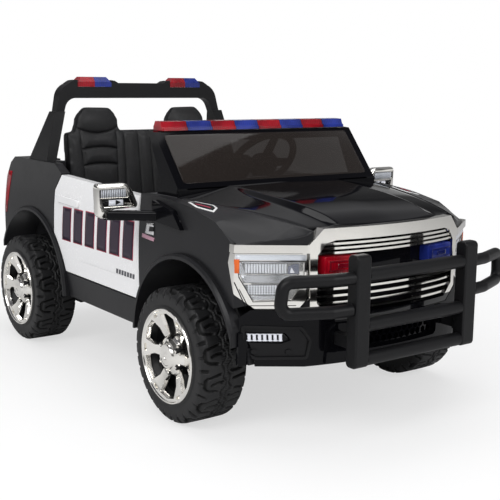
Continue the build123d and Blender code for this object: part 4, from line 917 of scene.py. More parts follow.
# ---------------------------------------------------------------- bonnet and fender tops
HOOD_LINES = (  # x ahead of the front axle; (y, z) of centre, ridge, ridge foot, shut line, crease, side
    (-200, (0, 488), (156, 486), (160, 484), (298, 466), (306, 466), (332, 466)),
    (-84, (0, 488), (156, 486), (160, 484), (298, 467), (306, 466), (332, 466)),
    (10, (0, 482), (149, 480), (166, 472), (270, 462), (303, 459), (332, 456)),
    (105, (0, 474), (141, 472), (161, 463), (242, 456), (300, 444), (332, 437)),
    (171, (0, 466), (136, 464), (156, 454), (222, 449), (288, 424), (332, 397)),
    (223, (0, 455), (131, 453), (151, 444), (207, 441), (258, 417), (332, 380)),
    (265, (0, 439), (128, 437), (148, 434), (195, 432), (222, 408), (332, 366)),
    (303, (0, 424), (125, 422), (145, 420), (184, 418), (206, 398), (332, 352)),
)


def hood_at(x, column):
    """(y, z) on one of the hood's lines, eased where the lines bend."""
    y = z = 0.0
    reach = (-20.0, -10.0, 0.0, 10.0, 20.0)
    for shift in reach:
        here = max(HOOD_LINES[0][0], min(HOOD_LINES[-1][0], x - FRONT_X + shift))
        for low, high in zip(HOOD_LINES, HOOD_LINES[1:]):
            if low[0] <= here <= high[0]:
                share = (here - low[0]) / (high[0] - low[0])
                whole = int(min(column, 4.999))
                part = column - whole
                a = [between(low[1 + whole][i], high[1 + whole][i], share) for i in (0, 1)]
                b = [between(low[2 + whole][i], high[2 + whole][i], share) for i in (0, 1)]
                y += between(a[0], b[0], part) / len(reach)
                z += between(a[1], b[1], part) / len(reach)
                break
    return y, z


def hood_sheet(columns, rear_x, front_proud, lift, mirrored_too):
    """Top surface between hood lines; each column is (line, y shift, drop below the surface)."""
    rows = 72
    grid = []
    for line, shift, drop in columns:
        front = FRONT_X + 270.0
        for _ in range(12):
            front = between(front, nose_x(hood_at(front, line)[0] + shift, front_proud), 0.7)
        lane = []
        for i in range(rows + 1):
            x = between(rear_x, front, i / rows)
            y, z = hood_at(x, line)
            lane.append((x, y + shift, z + lift - drop))
        last = lane[-1]
        lane.append((last[0] + 0.2, last[1], last[2] - 1.2))
        lane.append((last[0] + 0.2, last[1], last[2] - 12.0))
        first = lane[0]
        lane.insert(0, (first[0] - 0.4, first[1], first[2] - 1.0))
        lane.insert(0, (first[0] - 0.4, first[1], first[2] - 9.0))
        grid.append(lane)
    made = bmesh.new()
    if mirrored_too:
        grid = [[(x, -y, z) for x, y, z in lane] for lane in reversed(grid[1:])] + grid
    add_rings(made, grid, closed=False, caps=False)
    mesh = mesh_of("sheet", made, 0.01)
    if sum(face.normal.z * face.area for face in mesh.polygons) < 0:
        mesh.flip_normals()
    return mesh


BONNET_COLUMNS = [(share, 0.0, 0.0) for share in (0.0, 0.2, 0.4, 0.6, 0.8, 0.93, 0.975)]
BONNET_COLUMNS += [
    (1.0, 0.0, 0.15), (1.12, 0.0, 0.1), (1.5, 0.0, 0.0), (1.85, 0.0, -0.15), (2.0, 0.0, -0.3),
    (2.05, 0.0, -0.1),
]
BONNET_COLUMNS += [(share, 0.0, 0.0) for share in (2.2, 2.4, 2.6, 2.8, 2.93)]
BONNET_COLUMNS += [(2.999, -2.6, 0.1), (2.999, -1.6, 0.6), (2.999, -1.1, 1.6), (2.999, -1.0, 9.0)]
bonnet_sheet = hood_sheet(BONNET_COLUMNS, FRONT_X - 83.0, -16.9, 0.0, True)
bonnet_piece = new_piece("bonnet_skin", bonnet_sheet, "gloss_black", body_name("bonnet"))
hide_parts("bonnet")


def fender_top():
    """The satin strip from the shut line over the crease and down to the side."""
    columns = [(3.0, 1.0, 9.0), (3.0, 1.1, 1.6), (3.0, 1.6, 0.6), (3.0, 2.6, 0.1)]
    columns += [(share, 0.0, 0.0) for share in (3.15, 3.4, 3.7, 3.88)]
    columns += [(3.97, 0.0, 0.1), (4.03, 0.0, 0.1)]
    columns += [(share, 0.0, 0.0) for share in (4.1, 4.25, 4.4, 4.55, 4.7)]
    sheet = hood_sheet(columns, FRONT_X - 195.5, 0.4, 0.45, False)
    made = bmesh.new()
    made.from_mesh(sheet)
    for vert in made.verts:
        z = vert.co.z / MM
        limit = (side_y(z) + 0.35) * MM
        if vert.co.y > limit:
            spare = (vert.co.y - limit) / MM
            vert.co.y = limit
            vert.co.z -= spare * 0.15 * MM
    return plain_mesh("fender_top", made)


fender_sheet = fender_top()
new_piece("fender_top_left", fender_sheet.copy(), "satin_black", "body")
new_piece("fender_top_right", swapped(fender_sheet), "satin_black", "body")


# ---------------------------------------------------------------- seats
SEAT_SHRINK, SEAT_SWELL = 2.5, 8.0  # how far a cover starts inside its solid, and the most it swells
SEAT_CELL = 5.0
CLOTH_PRESSURE, CLOTH_STEPS = 4.0, 20
SEAM_DEPTH, SEAM_WIDTH = 3.6, 2.6
CROWN_DEPTH, CROWN_WIDTH = 4.2, 11.0
SEAM_REACH = 60.0


def puffed(node, seams, front_axis):
    """A solid of the frame swelled as a stuffed cover, with its seams drawn in."""
    made = bmesh.new()
    made.from_mesh(nodes[node].data)
    bmesh.ops.remove_doubles(made, verts=made.verts, dist=WELD * MM)
    bmesh.ops.recalc_face_normals(made, faces=made.faces)
    for vert in made.verts:
        vert.normal_update()
    for vert, push in [(v, v.normal * (SEAT_SHRINK * MM)) for v in made.verts]:
        vert.co -= push
    holder = linked("holder", plain_mesh(node, made))
    grid = holder.modifiers.new("grid", "REMESH")
    grid.mode, grid.voxel_size, grid.use_smooth_shade = "VOXEL", SEAT_CELL * MM, True
    base = evaluated(holder)
    rest = [vert.co.copy() for vert in base.vertices]
    holder = linked("holder", base)
    cloth = holder.modifiers.new("cloth", "CLOTH")
    cloth.settings.use_pressure = True
    cloth.settings.uniform_pressure_force = CLOTH_PRESSURE
    cloth.settings.effector_weights.gravity = 0.0
    cloth.settings.quality = 4
    cloth.collision_settings.use_collision = False
    for step in range(1, CLOTH_STEPS + 1):
        bpy.context.scene.frame_set(step)
    base = evaluated(holder)
    bpy.context.scene.frame_set(1)
    for vert, was in zip(base.vertices, rest):
        move = vert.co - was
        if move.length > SEAT_SWELL * MM:
            vert.co = was + move.normalized() * (SEAT_SWELL * MM)
    holder = linked("holder", base)
    ease = holder.modifiers.new("ease", "SMOOTH")
    ease.factor, ease.iterations = 0.5, 6
    fine = holder.modifiers.new("fine", "SUBSURF")
    fine.levels = fine.render_levels = 1
    mesh = evaluated(holder)
    draw_seams(mesh, seams, front_axis)
    return smoothed(mesh)


def draw_seams(mesh, seams, front_axis):
    """Pulls the cover in along each seam and crowns it between them."""
    across, up = ((1, 2), (1, 0))[front_axis == 2]
    lows = [min(v.co[i] for v in mesh.vertices) for i in (0, 1, 2)]
    highs = [max(v.co[i] for v in mesh.vertices) for i in (0, 1, 2)]
    normals = [vert.normal.copy() for vert in mesh.vertices]
    for vert, normal in zip(mesh.vertices, normals):
        facing = max(0.0, normal[front_axis])
        if facing < 0.05:
            continue
        a, b = abs(vert.co[across]) / MM, vert.co[up] / MM
        nearest = SEAM_REACH
        for line in seams:
            for (a0, b0), (a1, b1) in zip(line, line[1:]):
                share = ((a - a0) * (a1 - a0) + (b - b0) * (b1 - b0)) / ((a1 - a0) ** 2 + (b1 - b0) ** 2)
                share = max(0.0, min(1.0, share))
                nearest = min(nearest, math.hypot(a - between(a0, a1, share), b - between(b0, b1, share)))
        pull = SEAM_DEPTH * math.exp(
            -((nearest / SEAM_WIDTH) ** 2)
        ) + CROWN_DEPTH * math.exp(-nearest / CROWN_WIDTH)
        vert.co -= normal * (pull * facing * MM)
    for vert in mesh.vertices:
        for i in (0, 1, 2):
            vert.co[i] = max(lows[i], min(highs[i], vert.co[i]))


def arc_line(y0, y1, z, sag, count=10):
    """A curved seam that dips in its middle."""
    line = []
    for i in range(count + 1):
        share = i / count
        line.append((between(y0, y1, share), z - sag * (1 - (2 * share - 1) ** 2)))
    return line


BACK_SEAMS = (
    arc_line(82, 214, 586, 16),
    ((88, 575), (90, 520), (92, 470), (96, 380)),
    ((200, 577), (198, 520), (196, 470), (192, 380)),
    arc_line(89, 199, 526, -6),
    arc_line(91, 197, 482, -5),
    ((64, 590), (66, 480), (70, 360)),
    ((20, 586), (20, 360)),
)
CUSHION_SEAMS = (
    ((92, -380), (92, -170)),
    ((190, -380), (190, -170)),
    ((92, -300), (190, -300)),
    ((92, -235), (190, -235)),
)
for node, seams, axis in (("seat_backs", BACK_SEAMS, 0), ("seat_cushions", CUSHION_SEAMS, 2)):
    seat = new_piece(node + "_cover", puffed(node, seams, axis), "black_leather", body_name(node))
    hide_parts(node)


# ---------------------------------------------------------------- labels
MOTIF_INK = moulded("motif_ink", (0.030, 0.018, 0.034), 0.30, grain=600.0, grain_depth=0.00002)
MOTIF_EDGE = moulded("motif_edge", (0.42, 0.045, 0.085), 0.30, grain=600.0, grain_depth=0.00002)
BADGE_SILVER = plated("badge_silver", (0.85, 0.85, 0.86), 0.25)
SMALL_INK = moulded("small_ink", (0.09, 0.09, 0.10), 0.4, grain=600.0, grain_depth=0.00002)
BADGE_PINK = moulded("badge_pink", (0.42, 0.24, 0.30), 0.3, grain=600.0, grain_depth=0.00002)
BADGE_WHITE = moulded("badge_white", (0.80, 0.80, 0.80), 0.3, grain=600.0, grain_depth=0.00002)
door_surface = surface_of(nodes["door_left"].data)
fender_surface = surface_of(nodes["fender_left"].data)
top_surface = surface_of(fender_sheet)
bed_surface = surface_of(nodes["bed_side_left"].data)


def slanted(x0, x1, z0, z1, lean):
    return [(x0, z0), (x1, z0), (x1 + lean, z1), (x0 + lean, z1)]


def motif():
    """Six slanted blocks across the door, each with a thin coloured edge."""
    ink, edge = [], []
    pitch, width = 65.5, 47.0
    for i in range(6):
        x0 = -262.0 + i * pitch
        low, high = 308.0 + 0.6 * i, 391.0 + 1.4 * i
        ink.append(draped(slanted(x0, x0 + width, low, high, 5), door_surface, 0.5))
        edge.append(draped(slanted(x0 - 2.2, x0 + width + 2.2, low - 2.4, high + 2.4, 5), door_surface, 0.3))
    return joined(ink), joined(edge)


def labels(side):
    """Every label of one side, in its own colour, with the body that it rides on."""
    door = "door_" + side
    ink, edge = motif()
    marks = [
        draped(slanted(31 + i * 13.2, 40.5 + i * 13.2, 266.6, 278, 2), door_surface, 0.4) for i in range(7)
    ]
    shield = [(170, 380), (177, 404), (205, 407), (208, 381)]
    notch = [(187, 387), (190, 398), (207.6, 399), (208.4, 389)]
    stripe = [(156, 370), (209, 367), (211, 375), (158, 379)]
    lozenge = [(316, 297), (320, 289), (366, 276), (384, 280), (394, 293), (354, 304)]
    return (
        ("motif_", ink, "matte_black", door, MOTIF_INK),
        ("motif_edge_", edge, "red_lens", door, MOTIF_EDGE),
        ("small_marks_", joined(marks), "matte_black", door, SMALL_INK),
        ("badge_", draped(shield, fender_surface, 1.4), "chrome", "body", BADGE_SILVER),
        ("badge_notch_", draped(notch, fender_surface, 1.8), "matte_black", "body", None),
        ("badge_stripe_", draped(stripe, fender_surface, 1.2), "red_lens", "body", BADGE_PINK),
        (
            "lozenge_",
            draped(grown_outline(lozenge, 4.2), top_surface, 1.2, True),
            "white_plastic",
            "body",
            BADGE_WHITE,
        ),
        ("lozenge_centre_", draped(lozenge, top_surface, 1.5, True), "matte_black", "body", None),
        (
            "lozenge_line_",
            draped([(334, 296), (376, 286), (378, 288.5), (336, 298.5)], top_surface, 1.9, True),
            "red_lens",
            "body",
            MOTIF_EDGE,
        ),
        (
            "tail_strip_",
            draped(
                [(-606, 456), (-640, 334), (-653, 336), (-653, 347), (-641.5, 440), (-633.5, 456)],
                bed_surface,
                0.8,
            ),
            "red_lens",
            "body",
            None,
        ),
    )


for side in ("left", "right"):
    for name, mesh, slot, body, look in labels(side):
        new_piece(name + side, mesh if side == "left" else swapped(mesh), slot, body, look)


# ---------------------------------------------------------------- finer shapes
def rounded(points, radius, steps=4):
    """An outline with its corners rounded; `radius` is one number or one for each corner."""
    radii = radius if isinstance(radius, tuple) else (radius,) * len(points)
    out = []
    for last, here, following, reach in zip(
        points[-1:] + points[:-1], points, points[1:] + points[:1], radii
    ):
        back, ahead = Vector(last) - Vector(here), Vector(following) - Vector(here)
        cut = min(reach, back.length * 0.45, ahead.length * 0.45)
        start, end = Vector(here) + back.normalized() * cut, Vector(here) + ahead.normalized() * cut
        for i in range(steps + 1):
            t = i / steps
            spot = start * (1 - t) ** 2 + Vector(here) * (2 * t * (1 - t)) + end * t**2
            out.append((spot.x, spot.y))
    return out


def prism_x(rings):
    """A solid between outlines of (y, z) points at several depths along x."""
    made = bmesh.new()
    add_rings(made, [[(x, y, z) for y, z in ring] for x, ring in rings])
    return mesh_of("prism", made)


def both_sides(name, mesh, slot, look=None, stands_for=None):
    """One fixed piece for both sides of the truck, from its left half."""
    piece = new_piece(name, paired(mesh), slot, "body", look)
    if stands_for:
        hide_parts(stands_for)


# ---------------------------------------------------------------- headlamps
LAMP_SLOPE = -CUT_DEPTH / CUT_WIDTH  # x for each mm of y on the nose's cut corner
REFLECTOR_GREY = moulded(
    "reflector_grey", (0.055, 0.058, 0.065), 0.25, grain=500.0, grain_depth=0.00002, shine=0.6
)
FROSTED = moulded(
    "frosted_reflector", (0.62, 0.65, 0.70), 0.28, grain=500.0, grain_depth=0.00002, coat=0.5, shine=0.6
)
LINE_BLACK = polished("line_black", (0.006, 0.006, 0.007), 0.08)
LAMP_NAVY = polished("lamp_navy", (0.016, 0.028, 0.085), 0.10)
AMBER = lens_plastic("amber_lens", (0.80, 0.16, 0.03), (0.45, 0.07, 0.01), 900.0)
LED_WHITE = moulded(
    "led_white", (0.74, 0.76, 0.82), 0.2, grain=500.0, grain_depth=0.00002, coat=0.5, shine=0.6
)


def lamp_ribs(y0, z0, z1, pitch, count, outer, inner, half=0.95):
    """Upright ribs side by side on the cut corner of the nose."""
    rib = nose_plate([(y0 - half, z0), (y0 + half, z0), (y0 + half, z1), (y0 - half, z1)], outer, inner)
    return repeated(rib, count, FROSTED, (0, 0, 0), (LAMP_SLOPE * pitch, pitch, 0))


upper = [(219.2, 346.6), (303.2, 346.6), (311.0, 367.4), (219.2, 367.4)]
lower = [(240.0, 305.0), (299.0, 303.5), (308.0, 325.5), (234.0, 325.5)]
window = [
    (213.4, 371.6), (213.4, 346), (219.4, 322), (233.2, 296.4), (293.6, 293.4), (305.4, 318),
    (316.4, 340), (319.4, 371.6),
]
both_sides(
    "lamp_back",
    joined([nose_plate(upper, -6.8, -7.6), nose_plate(lower, -2.9, -3.6)]),
    "chrome",
    REFLECTOR_GREY,
)
grid = [lamp_ribs(244.0, 305.5, 325.0, 4.3, 14, -2.3, -3.0, 0.85)]
grid += [
    nose_plate([(240, z), (302, z), (302, z + 1.5), (240, z + 1.5)], -2.2, -3.0)
    for z in (307.5, 312, 316.5, 321)
]
ribs = lamp_ribs(240.0, 347.6, 366.6, 4.5, 15, -4.6, -6.9, 1.3)
both_sides("lamp_ribs", joined([ribs] + grid), "chrome", FROSTED)
both_sides(
    "lamp_navy",
    nose_plate([(219.4, 347), (235.5, 347), (235.5, 361), (226, 367), (219.4, 367)], -4.2, -7.4),
    "blue_lens",
    LAMP_NAVY,
)
both_sides(
    "lamp_led", nose_plate([(226, 349), (233.5, 349), (231.5, 360)], -3.4, -4.3), "clear_lens", LED_WHITE
)
both_sides(
    "lamp_frost",
    nose_plate([(210, 374.6), (323, 374.6), (323, 385.6), (210, 385.6)], 0.5, -0.6),
    "chrome",
    FROSTED,
)
SILVER_GREY = plated("silver_grey", (0.52, 0.54, 0.57), 0.22)
MARGINS = (
    [(221.0, 329.6), (309.0, 329.6), (314.0, 344.2), (215.5, 344.2)],
    [(304.8, 345.2), (316.4, 345.2), (318.6, 371.0), (312.4, 368.4)],
    [(214.0, 368.2), (312.0, 368.2), (318.0, 371.4), (214.0, 371.4)],
    [(236.0, 297.6), (293.0, 294.8), (298.0, 302.8), (240.0, 304.2)],
)
margins = [nose_plate(edge, -2.2, -3.6) for edge in MARGINS]
both_sides("lamp_margins", joined(margins), "chrome", SILVER_GREY)
# Thin black lines on the headlamp; the first two are painted shadow.
LAMP_LINES = (  # (y, z) points, half width, front and back from the nose
    # Painted shadow: a dark line in the gap between the surround and the lamp.
    ([(208.2, 388.0), (208.2, 302.0)], 0.8, 0.25, -0.8),
    # Painted shadow: a dark line under the chrome strip.
    ([(209.0, 388.2), (326.0, 388.2)], 0.8, 0.3, -0.8),
    ([(216.0, 344.6), (303.0, 344.6)], 0.5, -2.4, -3.6),
    ([(222.0, 329.0), (309.0, 329.0)], 0.45, -2.4, -3.6),
    ([(213.0, 372.6), (320.0, 372.6)], 0.5, 0.2, -0.6),
    ([(320.4, 371.0), (317.4, 340.0), (306.2, 317.0), (294.4, 291.6), (233.0, 294.4)], 0.6, 0.25, -0.8),
    ([(324.6, 330.0), (306.0, 281.0)], 0.9, 0.25, -0.8),
    ([(316.5, 316.0), (303.0, 284.0), (226.0, 285.0)], 0.7, 0.2, -0.8),
)
lines = [nose_line(*line) for line in LAMP_LINES]
both_sides("lamp_lines", joined(lines), "gloss_black", LINE_BLACK)
both_sides(
    "lamp_amber",
    nose_plate([(317.5, 348.5), (324.6, 348.5), (325.0, 376), (317.0, 376)], 0.9, -0.8),
    "red_lens",
    AMBER,
)
both_sides("headlamp_lens", nose_plate(window, -0.4, -1.2), "clear_lens", None, "headlamps")


# ---------------------------------------------------------------- fog lamps
fog_face = rounded([(234.6, 216.2), (244.6, 230.6), (309.6, 232.6), (313.4, 211.4), (250.6, 209.4)], 3.0)
both_sides("fog_back", nose_plate(fog_face, 2.4, 1.3), "clear_lens", LINE_BLACK, "fog_lamps")
fog_bar = nose_plate([(249.0, 213.5), (253.6, 213.5), (254.2, 228.5), (249.6, 228.5)], 4.0, 2.2)
fog_bars = repeated(fog_bar, 7, LED_WHITE, (0, 0, 0), (LAMP_SLOPE * 8.4, 8.4, 0))
fog_rows = [
    nose_plate([(248, z), (306, z), (306, z + 1.6), (248, z + 1.6)], 3.4, 2.2) for z in (214.0, 227.0)
]
both_sides("fog_bars", joined([fog_bars] + fog_rows), "clear_lens", LED_WHITE)


# ---------------------------------------------------------------- grille lamps
RED_DEEP = lens_plastic("red_deep", (0.20, 0.003, 0.012), (0.05, 0.001, 0.004), 1500.0)
BLUE_DEEP = lens_plastic("blue_deep", (0.012, 0.02, 0.15), (0.004, 0.006, 0.05), 1500.0)
for name, flip, slot, look in (
    ("grille_frame_red", -1.0, "red_lens", RED_DEEP), ("grille_frame_blue", 1.0, "blue_lens", BLUE_DEEP)
):
    loop = [(102, 353), (168, 353), (168, 371), (102, 371), (102, 353)]
    frame_line = nose_line(loop, 1.3, 12.9, 11.0)
    core = nose_plate([(118, 357.5), (152, 357.5), (152, 366.5), (118, 366.5)], 12.7, 11.0)
    mesh = joined([frame_line, core])
    new_piece(name, mesh if flip > 0 else swapped(mesh), slot, "body", look)


# ---------------------------------------------------------------- gaps in the light bar
BAR_X, BAR_Z = FRONT_X - 186.0, 604.3
bar_edge = [
    (BAR_X + x, BAR_Z + z) for x, z in ((-40, 0), (2, 0), (1, 6), (-3, 8), (-8, 20), (-32, 21), (-40, 8))
]


def bar_slice(y, half, grow):
    """A thin slice of the light bar's section, a little proud of it."""
    edge = grown_outline(bar_edge, grow)
    made = bmesh.new()
    add_rings(made, [[(x, y - half, z) for x, z in edge], [(x, y + half, z) for x, z in edge]])
    return mesh_of("slice", made)


bar_half, bar_count = 268.0, 8
pitch = 2 * bar_half / bar_count
gaps = repeated(bar_slice(-bar_half + pitch, 0.6, 0.2), bar_count - 1, LINE_BLACK, (0, 0, 0), (0, pitch, 0))
new_piece("light_bar_gaps", gaps, "gloss_black", "body", LINE_BLACK)


# ---------------------------------------------------------------- mirrors
SHELL = [
    (368, 495), (436, 495), (440, 488), (438, 426), (428, 418.5), (410, 419), (403, 437), (343, 438),
    (339, 446), (352, 478),
]
shell_edge = rounded([(float(y), float(z)) for y, z in SHELL], (10, 7, 6, 10, 6, 5, 6, 4, 5, 10), 5)


def slab_x(edge, back, front):
    """A flat plate with a (y, z) outline."""
    return prism_x([(back, edge), (front, edge)])


def mirror_shell():
    """Rounded plated shell with a lamp seat over a darker recess."""
    rings = []
    for x, inset in (
        (140, 8), (141.5, 4.5), (144, 2), (148, 0.6), (153, 0), (160, 0), (164.5, 0.7), (167, 2.2),
        (168, 4.2),
    ):
        rings.append((x, grown_outline(shell_edge, -inset)))
    band = rounded([(363.0, 463.0), (434.0, 464.5), (434.0, 483.0), (369.0, 484.0)], 3.0, 3)
    well = rounded([(352.0, 443.0), (424.0, 444.0), (428.0, 461.0), (360.0, 460.5)], 3.0, 3)
    cutters = [
        prism_x([(164.5, band), (170.0, grown_outline(band, 1.0))]),
        prism_x([(163.0, well), (170.0, grown_outline(well, 1.5))]),
    ]
    return sharpened(cut_away(prism_x(rings), cutters), 35.0)


both_sides("mirror_shells", mirror_shell(), "chrome", None, "mirror_housings")
band_edge = rounded([(364.0, 464.0), (433.0, 465.5), (433.0, 482.0), (370.0, 483.0)], 2.5, 3)
both_sides("mirror_band", slab_x(band_edge, 164.3, 165.2), "clear_lens", REFLECTOR_GREY, "mirror_lamps")
rib_foot = [(371.0, 465.0), (373.2, 465.0), (373.2, 482.0), (371.0, 482.0)]
rib_top = [(371.4, 465.4), (372.8, 465.4), (372.8, 481.6), (371.4, 481.6)]
rib = prism_x([(165.0, rib_foot), (167.4, rib_top)])
both_sides("mirror_ribs", repeated(rib, 14, FROSTED, (0, 0, 0), (0, 4.3, 0)), "clear_lens", FROSTED)
well_back = slab_x([(353.0, 444.0), (423.0, 445.0), (427.0, 460.0), (361.0, 459.5)], 162.8, 163.6)
arrow = slab_x([(395.0, 447.5), (395.0, 459.0), (382.0, 453.5)], 165.6, 166.4)
both_sides("mirror_dark", joined([well_back, arrow]), "gloss_black", LINE_BLACK)
panel_edge = rounded([(375.0, 445.5), (411.0, 446.5), (411.0, 459.5), (376.0, 459.0)], 2.0, 3)
both_sides(
    "mirror_panel",
    prism_x([(163.4, panel_edge), (165.8, grown_outline(panel_edge, -0.8))]),
    "clear_lens",
    LED_WHITE,
)


# ---------------------------------------------------------------- windscreen pane
SCREEN_FOOT, SCREEN_HEAD = Vector((250.0, 0.0, 484.0)), Vector((151.0, 0.0, 602.0))


def screen_pane():
    """The tinted pane, laid over the frame's inner edge."""
    rise = SCREEN_HEAD - SCREEN_FOOT
    length = rise.length
    rise.normalize()
    ahead = Vector((-rise.z, 0.0, rise.x)) * -1
    edge = rounded([(-268.0, 13.0), (268.0, 13.0), (268.0, length - 9.0), (-268.0, length - 9.0)], 10.0, 5)
    rings = []
    for lift, inset in ((-0.6, 0.0), (0.4, 0.2), (0.7, 1.0)):
        ring = [
            SCREEN_FOOT + rise * up + ahead * lift + Vector((0, y, 0))
            for y, up in grown_outline(edge, -inset)
        ]
        rings.append([tuple(p) for p in ring])
    made = bmesh.new()
    add_rings(made, rings)
    return sharpened(mesh_of("pane", made), 30.0)


pane = new_piece("screen_pane", screen_pane(), "smoked_screen", "body")
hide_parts("windscreen_glass")


# ---------------------------------------------------------------- trim rings on the fenders
ring_outer = rounded([(276, 437), (300, 440), (319, 424), (316, 406), (300, 405), (284, 418)], 7.0, 4)
ring_inner = [(between(299.0, x, 0.62), between(422.0, z, 0.66)) for x, z in ring_outer]
both_sides("trim_ring", draped(ring_outer, fender_surface, 2.4, step=4.0), "gloss_black", LINE_BLACK)
both_sides("trim_ring_centre", draped(ring_inner, fender_surface, 3.0, step=4.0), "matte_black")


# ---------------------------------------------------------------- bumper ends beside the front wheels
end_outline = rounded([(523.0, 164.0), (534.0, 164.0), (534.0, 232.0), (524.0, 232.0)], 2.5, 3)
end_rings = [(298.0, end_outline), (322.0, end_outline), (324.6, grown_outline(end_outline, -1.6))]
both_sides("bumper_end", sharpened(prism_y(end_rings), 35.0), "gloss_black")


# ---------------------------------------------------------------- the solids in their finishes
SKINS = (  # node, finish, edge radius in mm
    ("fender_left", "satin_black", 2.0),
    ("fender_right", "satin_black", 2.0),
    ("bed_side_left", "satin_black", 3.0),
    ("bed_side_right", "satin_black", 3.0),
    ("floor_pan", "satin_black", 3.0),
    ("door_left", "white_plastic", 2.5),
    ("door_right", "white_plastic", 2.5),
    ("tailgate", "satin_black", 3.0),
    ("front_bumper", "gloss_black", 3.5),
    ("rear_bumper", "matte_black", 4.0),
    ("headlamp_housings", "chrome", 1.0),
    ("fog_bezels", "matte_black", 1.0),
    ("roll_bar", "matte_black", 5.0),
    ("windscreen_frame", "gloss_black", 2.5),
    ("bull_bar_uprights", "matte_black", 2.0),
    ("mirror_arms", "gloss_black", 4.0),
    ("dashboard", "grey_plastic", 3.0),
    ("steering_column", "matte_black", 2.0),
    ("pedal", "grey_plastic", 2.0),
    ("seat_box", "matte_black", 3.0),
    ("firewall", "matte_black", 2.0),
    ("bed_floor", "matte_black", 1.5),
    ("warning_lenses_red", "red_lens", 1.2),
    ("warning_lenses_blue", "blue_lens", 1.2),
    ("tail_lamps", "red_lens", 1.5),
    ("battery", "grey_plastic", 3.0),
    ("gearboxes", "matte_black", 2.0),
)
KEPT = (
    ("bull_bar_tubes", "matte_black"),
    ("bull_bar_loops", "matte_black"),
    ("steering_wheel", "matte_black"),
    ("door_hinges", "matte_black"),
    ("front_axle", "steel"),
    ("tie_rod", "steel"),
    ("rear_axle", "steel"),
    ("knuckle_left", "steel"),
    ("knuckle_right", "steel"),
)
dressed("grille", "chrome", 1.4, look=plated("grille_chrome", (0.93, 0.91, 0.86), 0.06, painted_below=0.267))
for node, slot, width in SKINS:
    dressed(node, slot, width)
for node, slot in KEPT:
    kept(node, slot)


# ---------------------------------------------------------------- studio
def area_lamp(name, place, aim, size, power, colour=(1.0, 1.0, 1.0)):
    """A large soft lamp that looks at a point."""
    lamp = bpy.data.lights.new(name, "AREA")
    lamp.shape = "RECTANGLE"
    lamp.size, lamp.size_y = size
    lamp.energy = power
    lamp.color = colour
    holder = linked(name, lamp)
    look_at = Vector(aim) - Vector(place)
    holder.matrix_world = Matrix.Translation(place) @ look_at.to_track_quat("-Z", "Y").to_matrix().to_4x4()


def studio_floor():
    """A wide pale floor that keeps the object's shadow and fades into the backdrop."""
    made = bmesh.new()
    rings, spokes, reach = 24, 64, 9.0
    turns = [2 * math.pi * k / spokes for k in range(spokes)]
    middle = made.verts.new((0, 0, 0))
    rows = []
    for i in range(1, rings + 1):
        radius = reach * (i / rings) ** 2
        rows.append([made.verts.new((radius * math.cos(turn), radius * math.sin(turn), 0)) for turn in turns])
    for k in range(spokes):
        made.faces.new((middle, rows[0][k], rows[0][(k + 1) % spokes]))
        for inner, outer in zip(rows, rows[1:]):
            made.faces.new((inner[k], outer[k], outer[(k + 1) % spokes], inner[(k + 1) % spokes]))
    mesh = plain_mesh("studio_floor", made)
    look = Look("studio_floor")
    ray = look.add("ShaderNodeLightPath")
    seen = ray["Is Camera Ray"]
    paper = look.add("ShaderNodeBsdfPrincipled", None, {"Base Color": (0.93, 0.93, 0.93), "Roughness": 0.9})
    glow = look.add("ShaderNodeEmission", None, {"Color": (1.0, 1.0, 1.0), "Strength": 1.0})
    away = look.add("ShaderNodeVectorMath", {"operation": "LENGTH"}, {0: look.place()}, out=1)
    fade = 0.62 + away.above(1.25, 1.0) * 0.38
    shown = look.add("ShaderNodeMixShader", None, {0: seen * fade, 1: paper, 2: glow})
    dim = look.add("ShaderNodeEmission", None, {"Color": (0.0, 0.0, 0.0), "Strength": 0.0})
    share = ray["Is Glossy Ray"] * 0.28
    look.feed(look.end.inputs["Surface"], look.add("ShaderNodeMixShader", None, {0: share, 1: shown, 2: dim}))
    mesh.materials.append(look.material)
    linked("studio_floor", mesh)


SKY_STOPS = (  # height, colour that the object mirrors
    (0.0, (0.72, 0.72, 0.72)),
    (0.05, (0.85, 0.85, 0.85)),
    (0.15, (0.10, 0.10, 0.10)),
    (0.32, (0.05, 0.05, 0.05)),
    (0.48, (0.45, 0.45, 0.46)),
    (0.75, (0.08, 0.08, 0.09)),
)


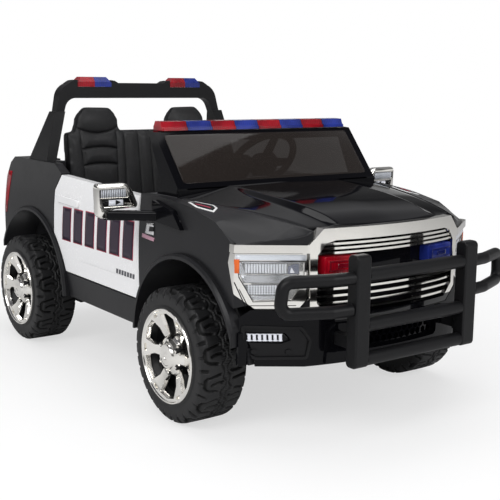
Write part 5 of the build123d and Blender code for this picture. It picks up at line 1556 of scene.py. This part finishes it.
def studio_world():
    """Even pale surroundings, white where they are seen or mirrored."""
    world = bpy.data.worlds.new("studio")
    bpy.context.scene.world = world
    look = Look("studio", world)
    ray = look.add("ShaderNodeLightPath")
    seen = ray["Is Camera Ray"].most(ray["Is Transmission Ray"])
    mirrored = ray["Is Glossy Ray"]
    height = look.add("ShaderNodeSeparateXYZ", None, {0: look.add("ShaderNodeTexCoord")["Generated"]})["Z"]
    sky = look.add("ShaderNodeValToRGB", {"stops": SKY_STOPS}, {"Fac": height})
    shown = look.mix(seen, look.mix(mirrored, (0.42, 0.42, 0.43), sky), (1.0, 1.0, 1.0))
    back = look.add("ShaderNodeBackground", None, {"Color": shown, "Strength": 1.0})
    look.feed(look.end.inputs["Surface"], back)


CAMERA_PLACE = (1.98567, -1.35206, 0.71266)
CAMERA_TURN_DEG = (144.064, -10.0615, 0.5996)  # yaw, pitch and roll
CAMERA_LENS, CAMERA_SENSOR = 67.91, 36.0


def place_camera():
    """Three-quarter view from the front right of the truck, a little above it."""
    yaw, pitch, roll = (math.radians(a) for a in CAMERA_TURN_DEG)
    ahead = Vector((math.cos(yaw) * math.cos(pitch), math.sin(yaw) * math.cos(pitch), math.sin(pitch)))
    level = ahead.cross(Vector((0, 0, 1))).normalized()
    upright = level.cross(ahead)
    side = level * math.cos(roll) + upright * math.sin(roll)
    top = upright * math.cos(roll) - level * math.sin(roll)
    eye = bpy.data.cameras.new("camera")
    eye.lens = CAMERA_LENS
    eye.sensor_width = CAMERA_SENSOR
    holder = linked("camera", eye)
    turn = Matrix((side, top, -ahead)).transposed().to_4x4()
    holder.matrix_world = Matrix.Translation(CAMERA_PLACE) @ turn
    bpy.context.scene.camera = holder


studio_floor()
studio_world()
place_camera()
area_lamp("key", (1.6, -2.6, 2.6), (0.0, 0.0, 0.3), (2.4, 1.6), 62.0)
area_lamp("front", (3.4, 0.8, 1.9), (0.2, 0.0, 0.3), (2.0, 1.6), 38.0)
area_lamp("top", (-0.2, 0.2, 3.2), (0.0, 0.0, 0.2), (3.0, 2.2), 40.0)
bpy.context.scene.view_settings.view_transform = "Standard"
